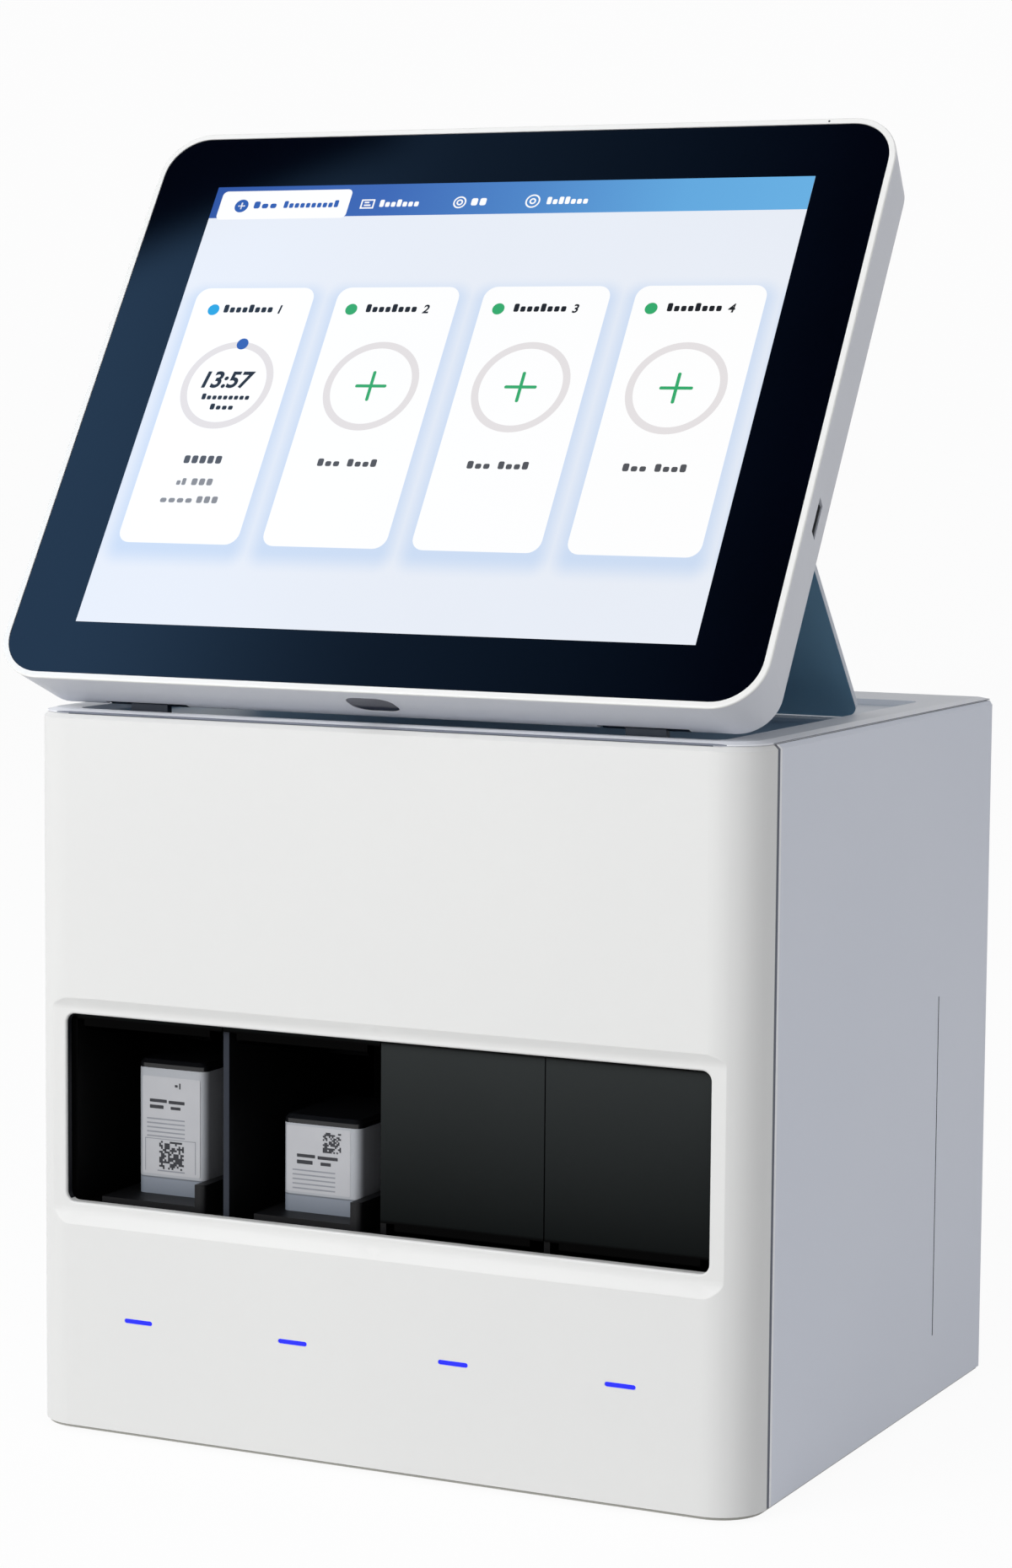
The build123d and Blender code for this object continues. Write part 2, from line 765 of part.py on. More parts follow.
# Door spindles and doors; the first two doors rest raised
spindle_low = roof_z + spindle_end
spindle_high = motor_z + motor_h - motor_cap - spindle_end
door_lift = [door_travel, door_travel, 0.0, 0.0]
for i, x in enumerate(bay_centres):
    lift = door_lift[i]
    with BuildPart() as door_screw:
        with BuildSketch(Plane.XY.offset(spindle_low)):
            with Locations(spindle_places[i]):
                Circle(screw_r)
        extrude(amount=spindle_high - spindle_low)
    door_screw.part.label = f"door_screw_{i + 1}"
    export_step(door_screw.part, f"parts/door_screw_{i + 1}.step")

    panel_low = base_z + door_low + lift
    panel_high = base_z + door_cover_high + lift
    tab_high = base_z + door_high + lift
    with BuildPart() as door:
        with BuildSketch(front_plane(door_y)):
            with Locations((x, (panel_low + panel_high) / 2)):
                Rectangle(bay_pitch - door_gap, panel_high - panel_low)
            with Locations((x, (panel_high + tab_high) / 2)):
                Rectangle(door_tab_w, tab_high - panel_high)
        extrude(amount=-door_sheet)
        with BuildSketch(Plane.YZ.offset(x - door_lip_w / 2)):
            with BuildLine():
                Polyline(
                    (door_y + door_lip_set, panel_low),
                    (door_y + door_lip_set, panel_low - door_lip_h + door_lip_bevel),
                    (door_y + door_lip_set + door_lip_bevel, panel_low - door_lip_h),
                    (door_y + door_lip_d, panel_low - door_lip_h),
                    (door_y + door_lip_d, panel_low + door_lip_root - door_lip_bevel),
                    (door_y + door_sheet, panel_low + door_lip_root),
                    (door_y + door_sheet / 2, panel_low + door_lip_root),
                    (door_y + door_sheet / 2, panel_low),
                    close=True,
                )
            make_face()
        extrude(amount=door_lip_w)
        with BuildSketch(Plane.XY.offset(tab_high - block_h)):
            with Locations((x, rod_y)):
                Rectangle(door_tab_w - 2 * block_inset, block_d)
        extrude(amount=block_h)
        with BuildSketch(Plane.XY.offset(tab_high - block_h)):
            with Locations(rod_places[i]):
                Circle(rod_r + spindle_gap)
            with Locations(spindle_places[i]):
                Circle(screw_r + spindle_gap)
        extrude(amount=block_h, mode=Mode.SUBTRACT)
    door.part.label = f"door_{i + 1}"
    export_step(door.part, f"parts/door_{i + 1}.step")

# Trays and their spindles; the last two trays rest docked
tray_set = [0.0, 0.0, tray_travel, tray_travel]
tray_z = floor_z + tray_lift
tray_y = bay_y + tray_front
tray_screw_back = bay_back_y + bay_back_wall + tray_motor_len - motor_cap - spindle_end
for i, x in enumerate(bay_centres):
    front = tray_y + tray_set[i]
    with BuildPart() as tray:
        with BuildSketch(Plane.XY.offset(tray_z)):
            with Locations((x, front + tray_len / 2)):
                Rectangle(tray_w, tray_len)
        extrude(amount=tray_floor)
        with BuildSketch(Plane.XY.offset(tray_z + tray_floor)):
            with Locations((x + (tray_w - tray_wall) / 2, front + tray_wall_len / 2)):
                Rectangle(tray_wall, tray_wall_len)
        extrude(amount=tray_wall_h)
        fillet(tray.edges().filter_by(Axis.Z).group_by(Axis.Y)[0].sort_by(Axis.X)[-1], tray_wall / 2)
        with BuildSketch(Plane.XY.offset(tray_z)):
            with Locations((x + (tray_w + nut_w) / 2, front + tray_len - nut_len / 2)):
                Rectangle(nut_w, nut_len)
        extrude(amount=nut_h)
        with BuildSketch(front_plane(front + tray_len - nut_len)):
            with Locations(tray_axis_places[i]):
                Circle(screw_r + spindle_gap)
        extrude(amount=-nut_len, mode=Mode.SUBTRACT)
    tray.part.label = f"tray_{i + 1}"
    export_step(tray.part, f"parts/tray_{i + 1}.step")

    with BuildPart() as tray_screw:
        with BuildSketch(front_plane(tray_screw_back)):
            with Locations(tray_axis_places[i]):
                Circle(screw_r)
        extrude(amount=tray_screw_len)
    tray_screw.part.label = f"tray_screw_{i + 1}"
    export_step(tray_screw.part, f"parts/tray_screw_{i + 1}.step")

# Tray motors behind the bays
with BuildPart() as tray_motors:
    with BuildSketch(front_plane(bay_back_y + bay_back_wall)):
        with Locations(tray_axis_places):
            RectangleRounded(tray_motor_side, tray_motor_side, tray_motor_r)
    extrude(amount=-tray_motor_len)
    with BuildSketch(front_plane(bay_back_y + bay_back_wall)):
        with Locations(tray_axis_places):
            Circle(screw_r + spindle_gap)
    extrude(amount=-(tray_motor_len - motor_cap), mode=Mode.SUBTRACT)
tray_motors.part.label = "tray_motors"
export_step(tray_motors.part, "parts/tray_motors.step")

# The two cartridges with their caps
cartridge_z = tray_z + tray_floor
plug_in = cap_wall + press_gap
cartridges = (
    (cartridge_1_w, cartridge_1_h, cartridge_1_set),
    (cartridge_2_w, cartridge_2_h, cartridge_2_set),
)
for i, (width, height, setback) in enumerate(cartridges):
    middle = (bay_centres[i], tray_y + setback + cartridge_len / 2)
    with BuildPart() as cartridge_body:
        with BuildSketch(Plane.XY.offset(cartridge_z)):
            with Locations(middle):
                RectangleRounded(width, cartridge_len, cartridge_r)
        extrude(amount=height)
        with BuildSketch(Plane.XY.offset(cartridge_z + height)):
            with Locations(middle):
                RectangleRounded(width - 2 * cap_wall, cartridge_len - 2 * cap_wall, cartridge_r - cap_wall)
        extrude(amount=-cap_plug - cap_room, mode=Mode.SUBTRACT)
    cartridge_body.part.label = f"cartridge_{i + 1}"
    export_step(cartridge_body.part, f"parts/cartridge_{i + 1}.step")

    with BuildPart() as cartridge_cap:
        with BuildSketch(Plane.XY.offset(cartridge_z + height)):
            with Locations(middle):
                RectangleRounded(width, cartridge_len, cartridge_r)
        extrude(amount=cap_h)
        chamfer(cartridge_cap.faces().sort_by(Axis.Z)[-1].edges(), cap_bevel)
        with BuildSketch(Plane.XY.offset(cartridge_z + height)):
            with Locations(middle):
                RectangleRounded(width - 2 * plug_in, cartridge_len - 2 * plug_in, cartridge_r - plug_in)
        extrude(amount=-cap_plug)
    cartridge_cap.part.label = f"cartridge_cap_{i + 1}"
    export_step(cartridge_cap.part, f"parts/cartridge_cap_{i + 1}.step")

# Heater blocks on the back wall of each bay
heater_mid = cartridge_z + heater_h / 2
with BuildPart() as heater_blocks:
    with BuildSketch(front_plane(bay_back_y)):
        with Locations([(x, heater_mid + run_gap) for x in bay_centres]):
            Rectangle(heater_w, heater_h)
    extrude(amount=heater_len)
    with BuildSketch(front_plane(bay_back_y - heater_len)):
        with Locations([(x, heater_mid + k * heater_groove_pitch) for x in bay_centres for k in (-1, 0, 1)]):
            Rectangle(heater_w, heater_groove)
    extrude(amount=-heater_groove_depth, mode=Mode.SUBTRACT)
heater_blocks.part.label = "heater_blocks"
export_step(heater_blocks.part, "parts/heater_blocks.step")

# Optical readers under the roof of each bay
optics_places = [(x, bay_back_y - heater_len - optics_len) for x in bay_centres]
with BuildPart() as optics_modules:
    with BuildSketch(Plane.XY.offset(roof_z - bay_roof)):
        with Locations(optics_places):
            Rectangle(optics_w, optics_len)
    extrude(amount=-optics_h)
    with BuildSketch(Plane.XY.offset(roof_z - bay_roof - optics_h)):
        with Locations(optics_places):
            Circle(optics_lens_r)
    extrude(amount=-optics_lens_h)
optics_modules.part.label = "optics_modules"
export_step(optics_modules.part, "parts/optics_modules.step")

# Light pipes that show as slots below the bays, and their board
with BuildPart() as lamp_guides:
    with BuildSketch(front_plane(front_y + lamp_len)):
        with Locations([(x, lamp_z) for x in bay_centres]):
            SlotOverall(lamp_w - press_gap, lamp_h - press_gap)
    extrude(amount=lamp_len - hole_gap)
lamp_guides.part.label = "lamp_guides"
export_step(lamp_guides.part, "parts/lamp_guides.step")

with BuildPart() as lamp_board:
    with BuildSketch(front_plane(front_y + lamp_len)):
        with Locations((0, lamp_z + lamp_board_up)):
            Rectangle(2 * (bay_centres[-1] + lamp_board_end), lamp_board_h)
    extrude(amount=-lamp_board_t)
lamp_board.part.label = "lamp_board"
export_step(lamp_board.part, "parts/lamp_board.step")

# Main board on the posts of the base plate
with BuildPart() as main_board:
    with BuildSketch(Plane.XY.offset(board_z)):
        with Locations((board_x, front_y + board_depth)):
            Rectangle(board_w, board_d)
    extrude(amount=board_t)
    with BuildSketch(Plane.XY.offset(board_top)):
        with Locations((board_x + chip_x, front_y + board_depth + chip_back)):
            Rectangle(chip_side, chip_side)
        with Locations(
            [(board_x + module_x + module_pitch * k, front_y + board_depth + module_back) for k in range(3)]
        ):
            Rectangle(module_w, module_d)
    extrude(amount=chip_h)
main_board.part.label = "main_board"
export_step(main_board.part, "parts/main_board.step")

# Rear sockets on the main board
port_back_y = back_y - socket_set
with BuildPart() as rear_ports:
    with BuildSketch(front_plane(port_back_y)):
        with Locations(usb_places):
            Rectangle(port_w, port_h)
        with Locations(jack_place):
            Rectangle(jack_w, jack_h)
    extrude(amount=jack_len)
    with BuildSketch(front_plane(port_back_y)):
        with Locations(usb_places):
            Rectangle(port_w - 2 * port_shell, port_h - 2 * port_shell)
        with Locations(jack_place):
            Rectangle(jack_w - 2 * jack_wall, jack_h - 2 * jack_floor)
    extrude(amount=jack_len - jack_solid, mode=Mode.SUBTRACT)
    with BuildSketch(front_plane(port_back_y - port_tongue_in)):
        with Locations([(x, z + port_tongue_off) for x, z in usb_places]):
            Rectangle(port_w - 2 * port_tongue_in, port_tongue_t)
    extrude(amount=jack_len - jack_solid)
rear_ports.part.label = "rear_ports"
export_step(rear_ports.part, "parts/rear_ports.step")

# Power supply beside the board
with BuildPart() as power_supply:
    with BuildSketch(Plane.XY.offset(base_z + base_step)):
        with Locations((supply_x, front_y + supply_depth)):
            Rectangle(supply_w, supply_d)
    extrude(amount=supply_h)
    chamfer(power_supply.edges().filter_by(Axis.Z), supply_edge)
power_supply.part.label = "power_supply"
export_step(power_supply.part, "parts/power_supply.step")

# Power inlet with three pins
with BuildPart() as power_inlet:
    with BuildSketch(front_plane(back_y)):
        with Locations((inlet_x, inlet_z)):
            RectangleRounded(inlet_w, inlet_h, inlet_corner_r)
    extrude(amount=-rear_trim)
    with BuildSketch(front_plane(back_y)):
        with Locations((inlet_x, inlet_z)):
            Rectangle(inlet_body_w, inlet_body_h)
    extrude(amount=inlet_len)
    with BuildSketch(front_plane(back_y + rear_trim)):
        with Locations((inlet_x, inlet_z)):
            Rectangle(socket_w, socket_h)
    extrude(amount=socket_len + rear_trim, mode=Mode.SUBTRACT)
    with BuildSketch(front_plane(back_y - socket_len)):
        with Locations(
            [(inlet_x + k * inlet_pin_pitch, inlet_z + (1 - 2 * abs(k)) * inlet_pin_off) for k in (-1, 0, 1)]
        ):
            Rectangle(inlet_pin_w, inlet_pin_h)
    extrude(amount=-socket_len + inlet_pin_end)
power_inlet.part.label = "power_inlet"
export_step(power_inlet.part, "parts/power_inlet.step")

# Power switch body and its rocker
rocker_y = back_y - rocker_set
with BuildPart() as switch_body:
    with BuildSketch(front_plane(back_y)):
        with Locations((inlet_x, switch_z)):
            RectangleRounded(switch_w + 2 * switch_rim, switch_h + 2 * switch_rim, switch_rim)
    extrude(amount=-switch_flange)
    with BuildSketch(front_plane(back_y)):
        with Locations((inlet_x, switch_z)):
            Rectangle(switch_w, switch_h)
    extrude(amount=switch_len)
    with BuildSketch(front_plane(back_y + switch_flange)):
        with Locations((inlet_x, switch_z)):
            Rectangle(rocker_w + 2 * rocker_side_gap, switch_h - 2 * rocker_end_in)
    extrude(amount=switch_flange + switch_well, mode=Mode.SUBTRACT)
    with BuildSketch(Plane.YZ.offset(inlet_x)):
        with Locations((rocker_y, switch_z)):
            Circle(rocker_axle_r)
    extrude(amount=rocker_w / 2 + 2 * rocker_side_gap, both=True)
switch_body.part.label = "switch_body"
export_step(switch_body.part, "parts/switch_body.step")

# The rocker rests with its lower half pressed in
with BuildPart() as power_rocker:
    with BuildSketch(Plane.YZ.offset(inlet_x)):
        with BuildLine():
            Polyline(
                (rocker_y - rocker_root, switch_z - rocker_root),
                (rocker_y - rocker_root, switch_z + rocker_root),
                (rocker_y + rocker_edge_in, switch_z + rocker_half),
                (rocker_y + rocker_edge_out, switch_z + rocker_half),
                (rocker_y + rocker_edge_out - rocker_dish, switch_z),
                (rocker_y + rocker_edge_out, switch_z - rocker_half),
                (rocker_y + rocker_edge_in, switch_z - rocker_half),
                close=True,
            )
        make_face()
    extrude(amount=rocker_w / 2, both=True)
    with BuildSketch(Plane.YZ.offset(inlet_x)):
        with Locations((rocker_y, switch_z)):
            Circle(rocker_axle_r + rocker_axle_gap)
    extrude(amount=rocker_w, both=True, mode=Mode.SUBTRACT)
rocker_axis = Axis((inlet_x, rocker_y, switch_z), (1, 0, 0))
power_rocker_part = power_rocker.part.rotate(rocker_axis, -rocker_throw / 2)
power_rocker_part.label = "power_rocker"
export_step(power_rocker_part, "parts/power_rocker.step")

# Fan frame with struts, its rotor and the wire guard
fan_back = rear_in - fan_t
with BuildPart() as fan_frame:
    with BuildSketch(front_plane(rear_in)):
        with Locations((fan_x, fan_z)):
            RectangleRounded(fan_side, fan_side, fan_corner_r)
            Circle(fan_bore_r, mode=Mode.SUBTRACT)
        with Locations(fan_screw_places):
            Circle(screw_shank_r, mode=Mode.SUBTRACT)
    extrude(amount=fan_t)
    with BuildSketch(front_plane(fan_back + fan_strut_t)):
        with Locations((fan_x, fan_z)):
            Circle(hub_r)
            Rectangle(2 * (fan_bore_r + pad_overlap), fan_strut_w)
            Rectangle(fan_strut_w, 2 * (fan_bore_r + pad_overlap))
    extrude(amount=fan_strut_t)
    with BuildSketch(front_plane(fan_back + fan_strut_t)):
        with Locations((fan_x, fan_z)):
            Circle(fan_axle_r)
    extrude(amount=-(fan_t - 2 * fan_strut_t))
fan_frame.part.label = "fan_frame"
export_step(fan_frame.part, "parts/fan_frame.step")

rotor_back = rear_in - rotor_set
rotor_front = fan_back + fan_strut_t + rotor_gap
rotor_len = rotor_back - rotor_front
blade_mid = (hub_r + rotor_r) / 2 - pad_overlap
with BuildPart() as fan_rotor:
    with BuildSketch(front_plane(rotor_back)):
        with Locations((fan_x, fan_z)):
            Circle(hub_r)
    extrude(amount=rotor_len)
    for k in range(blade_count):
        blade_turn = Location((fan_x, fan_z, 0), (0, 0, k * 360 / blade_count))
        blade_tilt = Location((0, 0, 0), (blade_angle, 0, 0))
        with BuildSketch(front_plane(rotor_back - rotor_len / 2) * blade_turn * blade_tilt):
            with Locations((blade_mid, 0)):
                Rectangle(rotor_r - hub_r, blade_t)
        extrude(amount=rotor_len / 2 - blade_end_gap, both=True)
    with BuildSketch(front_plane(rotor_front - rotor_gap)):
        with Locations((fan_x, fan_z)):
            Circle(fan_axle_r + rocker_axle_gap)
    extrude(amount=-(fan_t - 2 * fan_strut_t + rotor_gap), mode=Mode.SUBTRACT)
fan_rotor.part.label = "fan_rotor"
export_step(fan_rotor.part, "parts/fan_rotor.step")

spoke_len = 2 * (2 * fan_screw**2) ** 0.5
with BuildPart() as fan_guard:
    with BuildSketch(front_plane(back_y + rear_trim)):
        with Locations((fan_x, fan_z)):
            for k in range(guard_ring_count):
                ring_r = fan_bore_r - guard_edge - k * guard_pitch
                Circle(ring_r + guard_wire / 2)
                Circle(ring_r - guard_wire / 2, mode=Mode.SUBTRACT)
    extrude(amount=guard_ring_t)
    with BuildSketch(front_plane(back_y + guard_spoke_t)):
        for k in range(2):
            with Locations(Location((fan_x, fan_z, 0), (0, 0, 45 + 90 * k))):
                Rectangle(spoke_len, guard_wire)
        with Locations(fan_screw_places):
            Circle(guard_tab_r)
    extrude(amount=guard_spoke_t)
    with BuildSketch(front_plane(back_y)):
        with Locations(fan_screw_places):
            Circle(screw_shank_r)
    extrude(amount=guard_pin_len)
fan_guard.part.label = "fan_guard"
export_step(fan_guard.part, "parts/fan_guard.step")

# Hinge line of the display and the plane of its glass
hinge_y = front_y + hinge_depth
hinge_z = base_z + hinge_high
display_base = Plane(origin=(0, hinge_y, hinge_z), x_dir=(1, 0, 0), z_dir=(0, -cos(lean), sin(lean)))


def display_plane(behind):
    """Plane parallel to the display front, at the given distance behind it."""
    return display_base.offset(hinge_setback - behind)


def display_side_plane(x, up, behind):
    """Plane across the display, with its height and its depth inside it."""
    return Plane(
        origin=display_plane(behind).from_local_coords((x, up, 0)),
        x_dir=(0, sin(lean), cos(lean)),
        z_dir=(-1, 0, 0),
    )


def hinge_cylinder_plane(x):
    """Plane across the hinge line, with Y and Z inside it."""
    return Plane(origin=(x, hinge_y, hinge_z), x_dir=(0, 1, 0), z_dir=(1, 0, 0))


# Brackets on the pan floor, each with a middle knuckle
bracket_drop = floor_top - hinge_z
with BuildPart() as hinge_brackets:
    for side in (-1, 1):
        with BuildSketch(hinge_cylinder_plane(side * hinge_x)):
            Circle(hinge_r)
            with Locations((0, bracket_drop / 2)):
                Rectangle(bracket_t, -bracket_drop)
            with Locations((bracket_foot_out, bracket_drop + bracket_foot_t / 2)):
                Rectangle(bracket_foot_len, bracket_foot_t)
            Circle(pin_r, mode=Mode.SUBTRACT)
        extrude(amount=knuckle_w / 2, both=True)
hinge_brackets.part.label = "hinge_brackets"
export_step(hinge_brackets.part, "parts/hinge_brackets.step")

pin_reach = knuckle_w / 2 + leaf_gap + leaf_w
with BuildPart() as hinge_pins:
    for side in (-1, 1):
        with BuildSketch(hinge_cylinder_plane(side * hinge_x)):
            Circle(pin_r)
        extrude(amount=pin_reach, both=True)
hinge_pins.part.label = "hinge_pins"
export_step(hinge_pins.part, "parts/hinge_pins.step")

# Leaves: outer knuckles joined to a plate inside the display
shell_back_in = display_t - display_skin
with BuildPart() as hinge_leaves:
    for side in (-1, 1):
        for end in (-1, 1):
            knuckle_x = side * hinge_x + end * (knuckle_w / 2 + leaf_gap + leaf_w / 2)
            with BuildSketch(hinge_cylinder_plane(knuckle_x)):
                Circle(hinge_r)
            extrude(amount=leaf_w / 2, both=True)
            with BuildSketch(display_plane(shell_back_in)):
                with Locations((knuckle_x, leaf_neck / 2)):
                    Rectangle(leaf_w, leaf_neck)
            extrude(amount=leaf_plate_t)
        with BuildSketch(display_plane(shell_back_in)):
            with Locations((side * hinge_x, (leaf_neck + leaf_reach) / 2)):
                Rectangle(2 * pin_reach, leaf_reach - leaf_neck)
        extrude(amount=leaf_plate_t)
    for side in (-1, 1):
        with BuildSketch(hinge_cylinder_plane(side * hinge_x)):
            Circle(pin_r + pin_gap)
        extrude(amount=pin_reach + overcut, both=True, mode=Mode.SUBTRACT)
hinge_leaves.part.label = "hinge_leaves"
export_step(hinge_leaves.part, "parts/hinge_leaves.step")

# Outlines of the display
display_mid = display_h / 2 - display_chin


def display_outline(inset, radius):
    """Rounded outline of the display, drawn in by the given distance all round."""
    with BuildSketch(mode=Mode.PRIVATE) as outline:
        with Locations((0, display_mid)):
            RectangleRounded(display_w - 2 * inset, display_h - 2 * inset, radius)
    return outline.sketch


# Front frame of the display with a ledge under the glass
facing = Axis(display_base.origin, display_base.z_dir)
seat_depth = glass_drop + glass_t
bezel_in = shell_lip + bezel_gap
ledge_in = display_rim + ledge_w
glass_in = display_rim + press_gap
with BuildPart() as display_bezel:
    with BuildSketch(display_plane(0)):
        add(display_outline(0, display_r))
    extrude(amount=-rim_land)
    fillet(display_bezel.faces().sort_by(facing)[-1].edges(), rim_edge_r)
    with BuildSketch(display_plane(rim_land)):
        add(display_outline(bezel_in, display_r - bezel_in))
    extrude(amount=-bezel_body)
    with BuildSketch(display_plane(0)):
        add(display_outline(display_rim, display_r - display_rim))
    extrude(amount=-seat_depth, mode=Mode.SUBTRACT)
    with BuildSketch(display_plane(seat_depth)):
        add(display_outline(ledge_in, display_r - ledge_in))
    extrude(amount=-rim_land - bezel_body, mode=Mode.SUBTRACT)
display_bezel.part.label = "display_bezel"
export_step(display_bezel.part, "parts/display_bezel.step")

# Cover glass
with BuildPart() as display_glass:
    with BuildSketch(display_plane(glass_drop)):
        add(display_outline(glass_in, display_r - glass_in))
    extrude(amount=-glass_t)
display_glass.part.label = "display_glass"
export_step(display_glass.part, "parts/display_glass.step")

# Display panel behind the glass
lcd_w = screen_w + 2 * lcd_border
lcd_h = screen_h + 2 * lcd_border
screen_mid = screen_low + screen_h / 2
with BuildPart() as lcd_panel:
    with BuildSketch(display_plane(seat_depth)):
        with Locations((0, screen_mid)):
            Rectangle(lcd_w, lcd_h)
    extrude(amount=-lcd_t)
lcd_panel.part.label = "lcd_panel"
export_step(lcd_panel.part, "parts/lcd_panel.step")

# Inner sheet that backs the panel and carries the display board
sheet_front = seat_depth + lcd_t
taper_at = display_taper / (display_t - rim_land)
sheet_inset = display_skin + fit_gap + taper_at * (sheet_front + back_sheet - rim_land)
display_post_places = [
    (
        display_board_x + sx * (display_board_w / 2 - board_post_in),
        display_mid + sy * (display_board_d / 2 - board_post_in),
    )
    for sx in (-1, 1)
    for sy in (-1, 1)
]
with BuildPart() as display_sheet:
    with BuildSketch(display_plane(sheet_front)):
        add(display_outline(sheet_inset, display_r - sheet_inset))
    extrude(amount=-back_sheet)
    with BuildSketch(display_plane(sheet_front)):
        with Locations((0, window_notch_up / 2 - display_chin)):
            Rectangle(window_notch_w, window_notch_up)
    extrude(amount=-back_sheet, mode=Mode.SUBTRACT)
    with BuildSketch(display_plane(sheet_front + back_sheet)):
        with Locations(display_post_places):
            Circle(board_post_r)
    extrude(amount=-display_post)
display_sheet.part.label = "display_sheet"
export_step(display_sheet.part, "parts/display_sheet.step")

# Display board on the posts of the inner sheet
display_board_at = sheet_front + back_sheet + display_post
with BuildPart() as display_board:
    with BuildSketch(display_plane(display_board_at)):
        with Locations((display_board_x, display_mid)):
            Rectangle(display_board_w, display_board_d)
    extrude(amount=-board_t)
    with BuildSketch(display_plane(display_board_at + board_t)):
        with Locations([(display_board_x + k * display_chip_pitch, display_mid) for k in (-1, 0, 1)]):
            Rectangle(display_chip, display_chip)
    extrude(amount=-display_chip_h)
display_board.part.label = "display_board"
export_step(display_board.part, "parts/display_board.step")

# Rear shell of the display, tapered towards the back
display_up = Vector(0, sin(lean), cos(lean))
display_back = Vector(0, cos(lean), -sin(lean))
window_plane = Plane(
    origin=display_side_plane(0, taper_at * (window_back - rim_land) - display_chin, window_back).origin,
    x_dir=(1, 0, 0),
    z_dir=display_back * taper_at - display_up,
)
back_in = display_taper + display_skin
pocket_h = pocket_up + pocket_low
pocket_d = display_t - hinge_setback + hinge_r + 2 * run_gap
lug_foot = stand_pivot_out + pad_overlap
with BuildPart() as display_rear_shell:
    with BuildSketch(display_plane(rim_land)):
        add(display_outline(0, display_r))
    with BuildSketch(display_plane(display_t)):
        add(display_outline(display_taper, display_r - display_taper))
    loft(ruled=True)
    fillet(display_rear_shell.faces().sort_by(facing)[0].edges(), display_back_r)
    with BuildSketch(display_plane(rim_land)):
        add(display_outline(shell_lip, display_r - shell_lip))
    extrude(amount=-bezel_body, mode=Mode.SUBTRACT)
    with BuildSketch(display_plane(rim_land + bezel_body)):
        add(display_outline(shell_lip, display_r - shell_lip))
    with BuildSketch(display_plane(shell_back_in)):
        add(display_outline(back_in, display_r - back_in))
    loft(ruled=True, mode=Mode.SUBTRACT)
    with BuildSketch(display_plane(display_t)):
        with Locations([(side * hinge_x, (pocket_up - pocket_low) / 2) for side in (-1, 1)]):
            Rectangle(2 * (pin_reach + pocket_side), pocket_h)
    extrude(amount=pocket_d, mode=Mode.SUBTRACT)
    for side in (-1, 1):
        with BuildSketch(display_side_plane(side * stand_lug_x, stand_pivot_up, display_t)):
            with Locations((0, stand_pivot_out - lug_foot / 2)):
                Rectangle(2 * stand_barrel_r, lug_foot)
            with Locations((0, stand_pivot_out)):
                Circle(stand_barrel_r)
                Circle(stand_pin_r, mode=Mode.SUBTRACT)
        extrude(amount=stand_lug_w / 2, both=True)
    with BuildSketch(display_side_plane(display_w / 2 + overcut, port_up, port_back)):
        Rectangle(port_w + 2 * press_gap, port_h + 2 * press_gap)
    extrude(amount=port_len, mode=Mode.SUBTRACT)
    with BuildSketch(window_plane):
        RectangleRounded(window_w + 2 * press_gap, window_h + 2 * press_gap, window_r)
    extrude(amount=-window_len, mode=Mode.SUBTRACT)
display_rear_shell.part.label = "display_rear_shell"
export_step(display_rear_shell.part, "parts/display_rear_shell.step")

# Dark oval window of the scanner in the lower wall of the display
with BuildPart() as scanner_window:
    with BuildSketch(window_plane.offset(-window_set)):
        RectangleRounded(window_w, window_h, window_r)
    extrude(amount=-window_len)
    with BuildSketch(window_plane.offset(-window_len)):
        Rectangle(window_flange_w, window_flange_h)
    extrude(amount=-window_flange_t)
scanner_window.part.label = "scanner_window"
export_step(scanner_window.part, "parts/scanner_window.step")

# Socket in the right wall of the display
port_outer = display_w / 2 - taper_at * (port_back - rim_land) - port_set
with BuildPart() as display_port:
    with BuildSketch(display_side_plane(port_outer, port_up, port_back)):
        Rectangle(port_w, port_h)
    extrude(amount=port_len)
    with BuildSketch(display_side_plane(port_outer, port_up, port_back)):
        Rectangle(port_w - 2 * port_shell, port_h - 2 * port_shell)
    extrude(amount=port_len - port_bottom, mode=Mode.SUBTRACT)
    with BuildSketch(display_side_plane(port_outer - port_tongue_in, port_up, port_back - port_tongue_off)):
        Rectangle(port_w - 2 * port_tongue_in, port_tongue_t)
    extrude(amount=port_len - port_bottom)
display_port.part.label = "display_port"
export_step(display_port.part, "parts/display_port.step")

